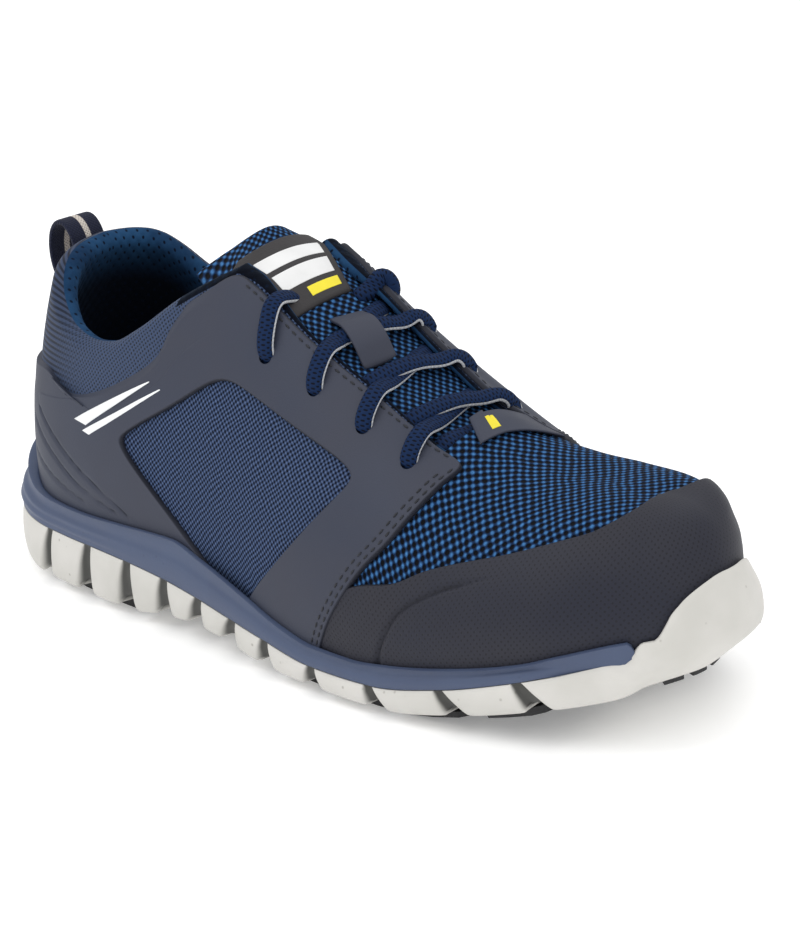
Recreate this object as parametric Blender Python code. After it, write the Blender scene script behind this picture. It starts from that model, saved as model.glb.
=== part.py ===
"""Low-cut safety shoe for the right foot, about EU 42.

X runs from heel to toe, +Y to the medial (inner) side, Z up from the ground.
Tables are in millimetres from the back of the heel; the solids are in metres,
with the origin under the middle of the shoe.
"""
import math

import bmesh
import bpy
import numpy as np

for old in list(bpy.data.objects):
    bpy.data.objects.remove(old, do_unlink=True)

MM = 0.001
SOLE_LENGTH = 300.0
HEEL_OUT = 5.0
WALL = 2.0
SEAT_GAP = 0.3
OVERLAY_LOW = 1.0
OVERLAY_HIGH = 1.7
LIP_INNER = 2.6
LIP_OUTER = 3.6
COLLAR_PAD = 6.5
INSOLE_THICK = 3.5
PAD_THICK = 2.7
EYELET_RADIUS = 2.3
LACE_WIDTH = 5.6
LACE_THICK = 2.2
TAPE_WIDTH = 13.0

# The last, one row for each section from the back of the heel to the toe tip: feather line on
# the lateral and medial side, the ridge over the foot, swell above the feather line, and how
# square the section is (2 is an ellipse).
SECTION_COLUMNS = ("lat_x", "lat_y", "med_x", "med_y", "ridge_x", "ridge_y", "ridge_z", "swell", "square")
SECTIONS = (
    (6.0, 0.0, 6.0, 0.0, 72.0, 0.0, 160.0, 0.5, 2.0),
    (10.5, -18.5, 10.5, 17.5, 72.0, 0.0, 160.0, 0.8, 2.0),
    (23.5, -33.5, 23.5, 31.5, 74.0, 0.0, 160.0, 1.5, 2.0),
    (45.0, -40.5, 45.0, 37.5, 80.0, 0.0, 158.0, 2.0, 2.0),
    (75.0, -42.5, 77.0, 39.0, 92.0, 0.0, 153.0, 2.0, 2.0),
    (105.0, -43.0, 107.0, 36.5, 110.0, 0.0, 143.0, 2.0, 1.9),
    (135.0, -45.0, 136.0, 37.5, 134.0, 0.5, 127.0, 2.0, 1.85),
    (165.0, -47.5, 165.0, 42.5, 160.0, 1.0, 107.0, 2.0, 1.85),
    (193.0, -48.0, 193.0, 47.5, 187.0, 1.5, 88.0, 2.0, 1.95),
    (220.0, -45.5, 220.0, 48.5, 213.0, 2.0, 73.5, 2.0, 2.1),
    (245.0, -40.5, 246.0, 45.5, 236.0, 2.5, 68.0, 2.0, 2.4),
    (268.5, -31.5, 269.5, 36.5, 254.0, 2.5, 68.5, 2.5, 2.8),
    (286.5, -17.0, 287.0, 22.0, 264.0, 2.5, 68.3, 2.5, 3.1),
    (293.5, 2.5, 293.5, 2.5, 268.0, 2.5, 68.0, 2.5, 3.2),
)
TOE = len(SECTIONS) - 1
ROUND = 2 * TOE

# Side view of the sole: height against distance from the heel.
DECK = ((0, 25.0), (20, 24.8), (60, 24.0), (100, 21.7), (135, 17.4), (165, 13.6), (190, 12.4),
        (205, 12.9), (230, 17.5), (255, 23.2), (275, 27.0), (293, 30.0))
POD_TOP = ((0, 22.2), (18, 21.8), (38, 20.6), (60, 20.7), (81, 20.0), (100, 18.5), (118, 16.4),
           (136, 14.0), (153, 12.0), (176, 9.7), (201, 10.0), (228, 14.4), (251, 20.0),
           (266, 22.8), (280, 24.8), (300, 27.0))
BAND_TOP = ((0, 43.5), (8, 41.8), (19, 36.5), (30, 32.0), (40, 31.2), (53, 31.2), (79, 32.2),
            (95, 33.0), (106, 33.3), (120, 30.2), (143, 24.0), (159, 19.3), (176, 16.4),
            (193, 16.4), (208, 17.9), (236, 22.7), (255, 26.9), (266, 29.7), (280, 32.5), (293, 35.0))
BOTTOM = ((0, 9.0), (12, 5.5), (22, 3.6), (30, 3.0), (78, 3.0), (98, 5.6), (115, 6.7), (133, 5.4),
          (153, 3.0), (204, 3.0), (234, 7.2), (259, 12.6), (275, 16.5), (290, 21.5), (300, 25.0))

# Flex grooves of the sole wall, from toe to heel: distance from the heel at their top and bottom.
GROOVES = ((251, 259), (228, 234), (201, 204), (176, 176), (153, 152.5), (136, 133), (118, 115),
           (100, 98), (81, 78), (60, 55), (38, 32.5), (18, 12))
GROOVE_HALF = 0.065
GROOVE_IN = 4.0
GROOVE_UP = 4.2

# Top edge of the upper, lateral side: station, then height at the collar or angle at the throat.
COLLAR_EDGE = ((0.0, 109.0), (0.8, 108.0), (1.2, 106.8), (1.6, 105.0), (2.0, 101.0), (2.5, 94.8), (3.0, 89.4),
               (3.45, 87.6), (3.75, 88.4), (4.15, 94.2), (4.75, 105.5), (5.5, 116.2))
THROAT_EDGE = ((5.5, 57.5), (5.85, 59.5), (6.4, 60.0), (7.0, 62.0), (7.6, 64.8), (8.3, 66.5), (8.85, 67.5),
               (8.88, 75.0), (8.915, 83.0), (8.95, 90.0))
THROAT_END = 8.95

# Grey bumper round the toe: station and height of its top edge.
BUMPER_EDGE = ((11.0, 28.0), (11.6, 33.0), (11.9, 37.5), (12.1, 42.5), (12.3, 46.2), (12.6, 49.0), (13.0, 50.8))
# Sole wall standing out further round the heel: how much, and from which station it fades.
HEEL_FLARE = 6.0
HEEL_FADE = (1.1, 3.1)
BUMPER_FROM = 11.85
BUMPER_FULL = 12.2
BAND_TAPER = (11.4, 11.8)
BUMPER_COLUMNS = (10.8, 11.3, 11.6, 11.85, 11.97, 12.09, 12.2, 12.35, 12.55, 12.78, 13.0)

# Quarter overlay with its eyestay, a row for each rib across it: outer edge, then window edge,
# each as station and angle up the section.
QUARTER = (
    (7.43, 0.0, 6.12, 0.0), (7.65, 8.5, 6.45, 8.5), (7.88, 16.5, 6.86, 17.0), (8.14, 25.5, 7.22, 26.0),
    (8.40, 34.5, 7.50, 34.5), (8.61, 46.0, 7.65, 39.5), (8.76, 57.0, 7.69, 42.0), (8.84, 67.0, 7.66, 43.2),
    (8.45, 66.4, 7.54, 43.7), (8.05, 65.5, 7.36, 43.4), (7.60, 64.2, 7.10, 42.7), (7.10, 62.0, 6.80, 41.7),
    (6.60, 60.0, 6.46, 40.7), (6.15, 59.2, 6.18, 39.9), (5.80, 58.6, 5.98, 39.4), (5.52, 56.8, 5.80, 38.8),
    (5.20, 49.8, 5.62, 37.3), (4.90, 43.4, 5.40, 33.7), (4.70, 37.5, 5.14, 29.3), (4.48, 30.8, 4.86, 25.5),
    (4.10, 25.6, 4.60, 22.3), (3.60, 21.6, 4.37, 19.7), (3.10, 19.9, 4.23, 18.0), (2.55, 20.0, 4.16, 16.8),
    (1.90, 22.5, 4.18, 15.9), (1.15, 25.1, 4.28, 14.8), (0.32, 25.6, 4.42, 13.5), (0.30, 18.5, 4.76, 11.2),
    (0.29, 11.5, 5.16, 8.5), (0.28, 5.0, 5.52, 5.6), (0.28, 0.0, 5.90, 0.0),
)
QUARTER_RIBS = 9
QUARTER_CROWD = 1.35

# Toe cap overlay: station and angle of its edge against the vamp.
CAP_EDGE = ((8.08, 21.0), (8.6, 25.5), (9.0, 31.5), (9.5, 37.0), (10.2, 43.0), (10.7, 48.0),
            (11.2, 54.0), (11.6, 62.0), (12.0, 72.0), (12.4, 80.0), (13.0, 84.5))
CAP_FOOT = 7.49

# Tongue, from its root under the vamp to the top of the throat: station, how far its edge tucks under
# the stays (degrees), crown of its middle, thickness.
TONGUE_COLUMNS = ("station", "tuck", "crown", "thick")
TONGUE = ((9.45, 13.0, 0.0, 2.6), (9.0, 15.0, 0.3, 3.0), (8.5, 16.0, 0.3, 3.0), (7.9, 16.0, 0.2, 3.4),
          (7.3, 15.0, 0.2, 3.8), (6.7, 14.0, 0.4, 4.2), (6.1, 13.0, 1.0, 4.8), (5.5, 12.0, 2.2, 5.6))
TONGUE_UNDER = 3.3
STAY_PART = 0.62
# Top edge of the tongue: middle point, half width, and how far its corners fall back and down.
TONGUE_TOP = {"x": 109.5, "y": 1.5, "z": 123.0, "half": 19.3, "back": 14.5, "down": 13.5, "thick": 6.0}

# Eyelets of each side from the throat end upwards: station and angle.
EYELETS = ((8.28, 56.0), (7.62, 54.5), (6.90, 52.0), (6.20, 48.5))
MEDIAL_EYELETS = ((8.28, 59.5), (7.62, 58.0), (6.90, 55.5), (6.20, 52.0))


def monotone(rows):
    """Smooth curve through the rows that never overshoots them."""
    xs, ys = np.array(rows, float).T[:2]
    step = np.diff(xs)
    rise = np.diff(ys) / step
    slope = np.zeros(len(xs))
    slope[0], slope[-1] = rise[0], rise[-1]
    for i in range(1, len(xs) - 1):
        if rise[i - 1] * rise[i] > 0:
            a, b = 2 * step[i] + step[i - 1], step[i] + 2 * step[i - 1]
            slope[i] = (a + b) / (a / rise[i - 1] + b / rise[i])

    def value(x):
        x = np.clip(np.asarray(x, float), xs[0], xs[-1])
        i = np.clip(np.searchsorted(xs, x) - 1, 0, len(xs) - 2)
        u = (x - xs[i]) / step[i]
        w = 1 - u
        near = ys[i] * (1 + 2 * u) * w * w + slope[i] * step[i] * u * w * w
        return near + ys[i + 1] * u * u * (3 - 2 * u) - slope[i + 1] * step[i] * u * u * w
    return value


def closed_spline(values):
    """Smooth closed curve with one row of values at each whole station."""
    n = len(values)
    matrix = 4 * np.eye(n) + np.roll(np.eye(n), 1, 0) + np.roll(np.eye(n), -1, 0)
    bend = np.linalg.solve(matrix, 6 * (np.roll(values, -1, 0) - 2 * values + np.roll(values, 1, 0)))

    def value(t):
        t = np.asarray(t, float) % n
        i = np.floor(t).astype(int) % n
        j = (i + 1) % n
        u = (t - np.floor(t))[..., None]
        w = 1 - u
        return w * values[i] + u * values[j] + ((w ** 3 - w) * bend[i] + (u ** 3 - u) * bend[j]) / 6
    return value


def section_ring():
    rows = []
    for k in range(ROUND):
        row = dict(zip(SECTION_COLUMNS, SECTIONS[min(k, ROUND - k)]))
        side = "lat" if k <= TOE else "med"
        rows.append([row[side + "_x"], row[side + "_y"], row["ridge_x"], row["ridge_y"], row["ridge_z"],
                     row["swell"], row["square"]])
    return np.array(rows, float)


section = closed_spline(section_ring())
deck_z = monotone(DECK)
pod_top_z = monotone(POD_TOP)
band_top_z = monotone(BAND_TOP)
bottom_z = monotone(BOTTOM)
collar_z = monotone(COLLAR_EDGE)
throat_angle = monotone(THROAT_EDGE)
bumper_z = monotone(BUMPER_EDGE)
cap_angle = monotone(CAP_EDGE)


def fold(t):
    """Station counted from the heel on either side."""
    t = np.asarray(t, float) % ROUND
    return np.minimum(t, ROUND - t)


def outward(t):
    along = (section(t + 1e-3) - section(t - 1e-3))[..., :2]
    out = np.stack([along[..., 1], -along[..., 0]], -1)
    return out / np.linalg.norm(out, axis=-1, keepdims=True)


def last_point(t, phi):
    t, phi = np.broadcast_arrays(np.asarray(t, float), np.asarray(phi, float))
    row = section(t)
    power = 2 / row[..., 6]
    across = np.cos(phi).clip(0) ** power
    up = np.sin(phi).clip(0) ** power
    foot = deck_z(row[..., 0]) + SEAT_GAP
    swell = row[..., 5] * up * (1 - up) ** 3 / 0.1055
    plan = row[..., :2] + (row[..., 2:4] - row[..., :2]) * (1 - across)[..., None]
    plan = plan + outward(t) * swell[..., None]
    return np.concatenate([plan, (foot + (row[..., 4] - foot) * up)[..., None]], -1)


def side_normal(t, phi):
    step = 1e-3
    phi = np.clip(phi, 0.02, math.pi / 2 - 0.02)
    along = last_point(t + step, phi) - last_point(t - step, phi)
    up = last_point(t, phi + step) - last_point(t, phi - step)
    out = np.cross(along, up)
    return out / np.linalg.norm(out, axis=-1, keepdims=True)


def skin(t, phi, lift=0.0):
    """Point of the last at a station and angle (degrees), moved out by lift."""
    t, phi, lift = np.broadcast_arrays(np.asarray(t, float), np.asarray(phi, float), np.asarray(lift, float))
    angle = np.radians(phi)
    here = side_normal(t, angle)
    both = here + side_normal(ROUND - t, angle)
    both = both / np.linalg.norm(both, axis=-1, keepdims=True)
    normal = np.where((phi > 89.0)[..., None], both, here)
    return last_point(t, angle) + lift[..., None] * normal


def angle_at(t, z):
    row = section(t)
    foot = deck_z(row[..., 0]) + SEAT_GAP
    part = np.clip((z - foot) / (row[..., 4] - foot), 0, 1)
    return np.degrees(np.arcsin(part ** (row[..., 6] / 2)))


def foot_angle(t):
    """Angle just clear of the deck, where an overlay starts."""
    return angle_at(t, deck_z(section(t)[..., 0]) + 1.4)


def station_at(x):
    """Lateral station of the feather line at a distance from the heel."""
    low, high = 0.0, float(TOE)
    for _ in range(50):
        mid = (low + high) / 2
        if section(np.array(mid))[0] < x:
            low = mid
        else:
            high = mid
    return low


def blend(t, start, full):
    u = np.clip((fold(t) - start) / (full - start), 0, 1)
    return u * u * (3 - 2 * u)


def around(stations):
    """Stations of one side carried on round the other side, back to the heel."""
    stations = np.asarray(stations, float)
    return np.concatenate([stations, ROUND - stations[-2:0:-1]])


def outline(t, offset):
    return section(t)[..., :2] + outward(t) * np.broadcast_to(offset, np.shape(t))[..., None]


def flat_point(t, offset, height, rise=0.0):
    """Ring point beside the feather line, at a height that depends on its distance from the heel."""
    plan = outline(t, offset)
    return np.column_stack([plan, height(plan[:, 0]) + rise])


def heel_flare(t):
    return HEEL_FLARE * (1 - blend(t, *HEEL_FADE))


def ridge_point(t, height, rise=0.0):
    plan = section(t)[..., 2:4]
    return np.column_stack([plan, height(plan[:, 0]) + rise])


def finish_mesh(name, bm, material):
    bmesh.ops.remove_doubles(bm, verts=bm.verts, dist=1e-6)
    bmesh.ops.delete(bm, geom=[v for v in bm.verts if not v.link_faces], context="VERTS")
    bmesh.ops.recalc_face_normals(bm, faces=bm.faces)
    if bm.calc_volume(signed=True) < 0:
        bmesh.ops.reverse_faces(bm, faces=bm.faces)
    mesh = bpy.data.meshes.new(name)
    bm.to_mesh(mesh)
    bm.free()
    mesh.materials.append(material)
    obj = bpy.data.objects.new(name, mesh)
    bpy.context.scene.collection.objects.link(obj)
    return obj


def place(point):
    return ((point[0] - MIDDLE_X) * MM, (point[1] - MIDDLE_Y) * MM, point[2] * MM)


def from_rings(name, rings, material, ring_closed=True, rows_closed=False, leave_out=None, caps=False):
    """Solid whose skin runs through successive rings of points."""
    bm = bmesh.new()
    verts = [[bm.verts.new(place(p)) for p in ring] for ring in rings]
    count = len(rings[0])
    last_row = len(rings) if rows_closed else len(rings) - 1
    for i in range(last_row):
        a, b = verts[i], verts[(i + 1) % len(rings)]
        for k in range(count if ring_closed else count - 1):
            n = (k + 1) % count
            if leave_out is None or not leave_out(i, k, n):
                bm.faces.new((a[k], a[n], b[n], b[k]))
    if caps:
        bm.faces.new(verts[0])
        bm.faces.new(verts[-1])
    bmesh.ops.remove_doubles(bm, verts=bm.verts, dist=1e-6)
    bmesh.ops.dissolve_degenerate(bm, dist=1e-7, edges=bm.edges)
    return finish_mesh(name, bm, material)


def from_patch(name, low, high, material):
    """Shell between two grids of points, closed round its edge."""
    rows, cols = low.shape[:2]
    edge = [(0, j) for j in range(cols)] + [(i, cols - 1) for i in range(1, rows)]
    edge += [(rows - 1, j) for j in range(cols - 2, -1, -1)] + [(i, 0) for i in range(rows - 2, 0, -1)]
    bm = bmesh.new()
    under = [[bm.verts.new(place(p)) for p in row] for row in low]
    over = [[bm.verts.new(place(p)) for p in row] for row in high]
    for grid in (under, over):
        for i in range(rows - 1):
            for j in range(cols - 1):
                bm.faces.new((grid[i][j], grid[i][j + 1], grid[i + 1][j + 1], grid[i + 1][j]))
    for (i, j), (m, n) in zip(edge, edge[1:] + edge[:1]):
        bm.faces.new((under[i][j], under[m][n], over[m][n], over[i][j]))
    return finish_mesh(name, bm, material)


def strap(name, path, width_dirs, half_width, half_thick, material, sides=8):
    """Flat oval cord swept along a path, its wide way along the given directions."""
    path = np.asarray(path, float)
    along = np.gradient(path, axis=0)
    along /= np.linalg.norm(along, axis=1)[:, None]
    wide = np.asarray(width_dirs, float)
    wide = wide - along * (wide * along).sum(1)[:, None]
    wide /= np.linalg.norm(wide, axis=1)[:, None]
    thick = np.cross(along, wide)
    turn = np.linspace(0, 2 * math.pi, sides, endpoint=False) + math.pi / sides
    ring = [(math.cos(a), math.sin(a)) for a in turn]
    rings = [[p + w * half_width * c + h * half_thick * s for c, s in ring]
             for p, w, h in zip(path, wide, thick)]
    return from_rings(name, rings, material, caps=True)


def material(name, colour, roughness):
    mat = bpy.data.materials.new(name)
    mat.use_nodes = True
    shader = mat.node_tree.nodes["Principled BSDF"]
    shader.inputs["Base Color"].default_value = (*colour, 1.0)
    shader.inputs["Roughness"].default_value = roughness
    return mat


def boolean(obj, other, operation):
    modifier = obj.modifiers.new(operation.lower(), "BOOLEAN")
    modifier.operation = operation
    modifier.solver = "EXACT"
    modifier.object = other
    other.hide_render = True
    other.display_type = "WIRE"


grey_film = material("grey_film", (0.065, 0.062, 0.075), 0.6)
blue_mesh = material("blue_mesh", (0.03, 0.07, 0.16), 0.8)
navy_cloth = material("navy_cloth", (0.012, 0.025, 0.07), 0.85)
navy_rubber = material("navy_rubber", (0.065, 0.09, 0.16), 0.55)
light_rubber = material("light_rubber", (0.68, 0.66, 0.63), 0.6)
dark_rubber = material("dark_rubber", (0.02, 0.02, 0.022), 0.7)

sample = np.linspace(0, ROUND, 521)
wide = outline(sample, 4.8)[:, 1]
MIDDLE_X = (SOLE_LENGTH - HEEL_OUT) / 2
MIDDLE_Y = float((wide.max() + wide.min()) / 2)


def edge_angle(t):
    """Angle at which the upper ends at a station: collar, throat, or closed over the toes."""
    s = fold(t)
    if s > THROAT_END - 1e-6:
        return 90.0
    if s >= 5.5:
        return float(throat_angle(s))
    return float(angle_at(np.array(t % ROUND), collar_z(s)))


def collar_pad(t, below):
    """Padding inside the collar, fading down the wall (below is 0 at the edge, 1 at the feather)."""
    fade = 1 - blend(t, 4.3, 5.3)
    return COLLAR_PAD * fade * np.clip(1 - below / 0.6, 0, 1) ** 0.7


def build_upper():
    side = [s for s in np.round(np.arange(0, 12.8, 0.47), 3) if abs(s - 8.9) > 0.15]
    side = sorted(side + [row[0] for row in THROAT_EDGE[-4:]] + [5.5, 13.0])
    t = around(side)
    closed = fold(t) > THROAT_END - 1e-6
    top = np.array([edge_angle(x) for x in t])
    levels = (0.0, 0.12, 0.26, 0.4, 0.55, 0.7, 0.85, 1.0)
    inside = (1.0, 0.93, 0.8, 0.62, 0.42, 0.2, 0.0)
    rings = [skin(t, top * v) for v in levels]
    thick_top = WALL + collar_pad(t, 0.0)
    crest = np.where(closed, 90.0, np.minimum(top + 0.18 * thick_top * 0.9, 89.0))
    rings.append(skin(t, crest, -thick_top * 0.5))
    for v in inside:
        ring = skin(t, top * v, -(WALL + collar_pad(t, 1 - v)))
        if v == 0.0:
            ring[:, 2] = rings[0][:, 2]
        rings.append(ring)
    rim = (len(levels) - 1, len(levels))

    def leave_out(row, k, n):
        return row in rim and closed[k] and closed[n]
    return from_rings("upper", rings, blue_mesh, rows_closed=True, leave_out=leave_out)


def build_quarter(name, medial):
    rows = np.array(QUARTER)
    across = np.linspace(0, 1, QUARTER_RIBS)[None, :] ** QUARTER_CROWD
    t = rows[:, 0:1] + (rows[:, 2:3] - rows[:, 0:1]) * across
    phi = rows[:, 1:2] + (rows[:, 3:4] - rows[:, 1:2]) * across
    t = ROUND - t if medial else t
    phi = np.maximum(phi, foot_angle(t))
    return from_patch(name, skin(t, phi, OVERLAY_LOW), skin(t, phi, OVERLAY_HIGH), grey_film)


def build_toe_cap():
    u = np.linspace(-1, 1, 31)[None, :]
    v = np.array([0.0, 0.15, 0.32, 0.52, 0.75, 1.0])[:, None]
    top = TOE + (TOE - CAP_EDGE[0][0]) * u
    foot = TOE + (TOE - CAP_FOOT) * u
    t = foot + (top - foot) * v
    phi = np.maximum(cap_angle(fold(top)) * v, foot_angle(t))
    return from_patch("toe_cap", skin(t, phi, OVERLAY_LOW), skin(t, phi, OVERLAY_HIGH), grey_film)


def build_heel_tape():
    t = np.linspace(-0.2, 0.2, 4)[None, :]
    phi = angle_at(np.array(0.0), np.linspace(25.6, 97.0, 9))[:, None]
    t, phi = np.broadcast_arrays(t, phi)
    return from_patch("heel_tape", skin(t, phi, OVERLAY_LOW), skin(t, phi, OVERLAY_HIGH), navy_cloth)


def build_pull_loop():
    path = ((15.3, 98.6), (14.9, 103.5), (13.4, 108.5), (10.2, 112.0), (6.2, 112.4), (2.8, 109.0),
            (1.2, 103.0), (1.6, 96.5), (4.0, 91.0), (8.6, 87.6))
    points = [(x, 0.0, z) for x, z in path]
    return strap("pull_loop", points, [(0, 1, 0)] * len(points), TAPE_WIDTH / 2, 0.8, navy_cloth)


def tongue_value(column, t):
    rows = np.array(TONGUE)[::-1]
    return np.interp(t, rows[:, 0], rows[:, TONGUE_COLUMNS.index(column)])


def stay_angle(t):
    """Angle of the stay's edge, carried on under the vamp."""
    return np.where(np.asarray(t) < 8.85, throat_angle(np.minimum(t, 8.85)), 67.5)


def tongue_in_throat(t, q, lift):
    """Tongue under the stays: it follows them at its sides and lies level between their edges."""
    edge = stay_angle(t)
    beyond = np.clip((np.abs(q) - STAY_PART) / (1 - STAY_PART), 0, 1)
    phi = edge - beyond * tongue_value("tuck", t)
    sides = [skin(s, phi, -TONGUE_UNDER) for s in (t, ROUND - t)]
    normals = [skin(s, phi, 1.0) - skin(s, phi, 0.0) for s in (t, ROUND - t)]
    u = np.clip(q / STAY_PART, -1, 1)
    part = ((1 + u) / 2)[..., None]
    point = sides[0] * (1 - part) + sides[1] * part
    normal = normals[0] * (1 - part) + normals[1] * part
    normal = normal / np.linalg.norm(normal, axis=-1, keepdims=True)
    crown = tongue_value("crown", t) * (1 - u * u)
    return point + normal * (crown + lift)[..., None]


def tongue_point(t, q, lift=0.0):
    """Point on the tongue: station (under 5.5 it rises to the top edge), q from -1 lateral to 1 medial."""
    t, q, lift = np.broadcast_arrays(np.asarray(t, float), np.asarray(q, float), np.asarray(lift, float))
    throat = tongue_in_throat(np.maximum(t, 5.5), q, lift)
    top = TONGUE_TOP
    rim = np.stack([top["x"] - top["back"] * q * q, top["y"] + top["half"] * q, top["z"] - top["down"] * q * q], -1)
    lean = np.stack([np.full(q.shape, 0.72), 0.5 * q, np.full(q.shape, 0.62)], -1)
    rim = rim + lean / np.linalg.norm(lean, axis=-1, keepdims=True) * lift[..., None]
    rise = np.clip((5.5 - t) / 0.5, 0, 1)[..., None]
    return throat * (1 - rise) + rim * rise


def build_tongue():
    t = np.array([9.45, 9.0, 8.6, 8.15, 7.7, 7.25, 6.8, 6.4, 6.0, 5.7, 5.5, 5.33, 5.15, 5.0])[:, None]
    q = np.array([-1.0, -0.82, -0.62, -0.4, -0.2, 0.0, 0.2, 0.4, 0.62, 0.82, 1.0])[None, :]
    thick = np.broadcast_to(tongue_value("thick", t), (t.shape[0], q.shape[1]))
    thick = thick * (1 - 0.5 * np.abs(q) ** 4)
    return from_patch("tongue", tongue_point(t, q, -thick), tongue_point(t, q), blue_mesh)


def build_label():
    t = np.array([5.28, 5.39, 5.5, 5.7, 6.0, 6.28])[:, None]
    q = np.linspace(-0.5, 0.44, 7)[None, :]
    return from_patch("tongue_label", tongue_point(t, q, 0.4), tongue_point(t, q, 1.1), navy_cloth)


def eyelets(medial):
    return MEDIAL_EYELETS if medial else EYELETS


def eyelet_point(row, medial, lift):
    t, phi = row
    return skin(np.array(ROUND - t if medial else t), np.array(phi), lift)


def cut_eyelets(targets):
    for medial in (False, True):
        for row in eyelets(medial):
            low = eyelet_point(row, medial, -6.0)
            high = eyelet_point(row, medial, 6.0)
            axis = (high - low) / np.linalg.norm(high - low)
            side = np.cross(axis, (1.0, 0.0, 0.0))
            side /= np.linalg.norm(side)
            other = np.cross(axis, side)
            turn = np.linspace(0, 2 * math.pi, 10, endpoint=False)
            ring = [EYELET_RADIUS * (math.cos(a) * side + math.sin(a) * other) for a in turn]
            cutter = from_rings("eyelet_cutter", [[low + r for r in ring], [high + r for r in ring]],
                                dark_rubber, caps=True)
            for obj in targets["medial" if medial else "lateral"]:
                boolean(obj, cutter, "DIFFERENCE")


def build_midsole():
    t = around(np.round(np.concatenate([np.arange(0, 11.3, 0.44), np.arange(11.4, 13.01, 0.16)]), 3))
    front = blend(t, *BAND_TAPER)
    feather = section(t)
    deck = deck_z(feather[:, 0])
    hidden = blend(t, BUMPER_FROM, BUMPER_FULL)
    lip = np.maximum(band_top_z(feather[:, 0]) * (1 - hidden) + (deck + 2.0) * hidden, deck + 2.0)
    low = pod_top_z(feather[:, 0]) + SEAT_GAP / 2
    top_angle = angle_at(t, lip)
    outer = LIP_OUTER + (2.6 - LIP_OUTER) * front + heel_flare(t) * 0.4
    foot_out = 4.2 * (1 - front) + 1.9 * front + heel_flare(t)
    mid_out = 4.1 * (1 - front) + 2.3 * front + heel_flare(t) * 0.9
    rings = [ridge_point(t, deck_z), np.column_stack([outline(t, -4.0), deck_z(outline(t, -4.0)[:, 0])])]
    foot = skin(t, 0.0, LIP_INNER)
    foot[:, 2] = deck
    rings += [foot, skin(t, top_angle * 0.5, LIP_INNER), skin(t, top_angle, LIP_INNER)]
    rings.append(skin(t, top_angle, outer))
    rings.append(np.column_stack([outline(t, mid_out), low + 0.5 * (lip - low)]))
    rings.append(np.column_stack([outline(t, foot_out), low]))
    rings.append(ridge_point(t, pod_top_z, 0.5))
    return from_rings("midsole", rings, navy_rubber)


def outsole_columns():
    """Columns round one side: station at the top and at the bottom of the wall, and whether it lies in a groove."""
    marks = sorted((station_at(top), station_at(bottom)) for top, bottom in GROOVES)
    columns = [(0.0, 0.0, 0.0)]
    before = (0.0, 0.0)
    for top, bottom in marks:
        gap = top - before[0]
        inner = 2 if gap > 0.86 else 1
        for k in range(1, inner + 1):
            part = k / (inner + 1)
            columns.append((before[0] + part * gap, before[1] + part * (bottom - before[1]), 0.0))
        for side, depth in ((-1.0, 0.0), (-0.45, 1.0), (0.45, 1.0), (1.0, 0.0)):
            columns.append((top + side * GROOVE_HALF * 0.5, bottom + side * GROOVE_HALF, depth))
        before = (top, bottom)
    for mark in BUMPER_COLUMNS:
        part = (mark - before[0]) / (TOE - before[0])
        columns.append((mark, before[1] + part * (TOE - before[1]), 0.0))
    return np.array(columns)


def build_outsole():
    columns = outsole_columns()
    top, bottom, depth = columns.T
    depth = np.concatenate([depth, depth[-2:0:-1]])
    top, bottom = around(top), around(bottom)

    def at(v):
        return top + (bottom - top) * v
    t = top
    front = blend(t, BUMPER_FROM, BUMPER_FULL)
    feather = section(t)
    high = pod_top_z(feather[:, 0]) - SEAT_GAP / 2
    rise = front * (bumper_z(fold(t)) - high)
    crown = angle_at(t, high + rise)
    plain_in = np.column_stack([outline(t, 2.9), high])
    plain_out = np.column_stack([outline(t, 4.4 - 0.5 * depth + heel_flare(t)), high])
    wall_in = skin(t, crown, 3.1)
    wall_out = skin(t, crown, 4.4)
    mix = front[:, None]
    rings = [ridge_point(t, pod_top_z, -0.5)]
    rings.append(np.column_stack([outline(t, 2.9 + 0.4 * front), high]))
    rise_in = plain_in + (plain_out - plain_in) * 0.15
    rings.append(rise_in * (1 - mix) + skin(t, crown * 0.4, 3.4) * mix)
    rings.append((plain_in + (plain_out - plain_in) * 0.3) * (1 - mix) + wall_in * mix)
    rings.append(plain_out * (1 - mix) + wall_out * mix)
    for v, plain, bumper, sink in ((0.3, 5.0, 6.5, 0.55), (0.72, 4.8, 5.6, 0.95), (1.0, 2.6, 1.4, 1.0)):
        station = at(v)
        row = section(station)
        ceiling = pod_top_z(row[:, 0])
        floor = bottom_z(row[:, 0])
        lift = GROOVE_UP * depth * (v > 0.99) * np.clip((ceiling - floor) / 12, 0.3, 1)
        height = ceiling + (floor - ceiling) * v
        if v < 0.5:
            height = height * (1 - front) + (ceiling + 4.0) * front
        offset = plain * (1 - front) + bumper * front - GROOVE_IN * sink * depth + heel_flare(station)
        rings.append(np.column_stack([outline(station, offset), height + lift]))
    station = at(1.0)
    for inner in (1.0,):
        row = section(station)
        plan = row[:, :2] + (row[:, 2:4] - row[:, :2]) * inner
        room = np.clip((pod_top_z(plan[:, 0]) - bottom_z(plan[:, 0])) / 12, 0.3, 1)
        rings.append(np.column_stack([plan, bottom_z(plan[:, 0]) + GROOVE_UP * depth * room]))
    return from_rings("outsole", rings, light_rubber)


def build_insole():
    t = around(np.round(np.arange(0, 13.01, 0.5), 3))
    inset = -(WALL + 0.6)
    low = np.column_stack([outline(t, inset), deck_z(section(t)[:, 0]) + SEAT_GAP])
    high = low + np.array([0.0, 0.0, INSOLE_THICK])
    mid_low = ridge_point(t, deck_z, SEAT_GAP)
    mid_high = ridge_point(t, deck_z, SEAT_GAP + INSOLE_THICK)
    return from_rings("insole", [mid_low, low, high, mid_high], navy_cloth)


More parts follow.
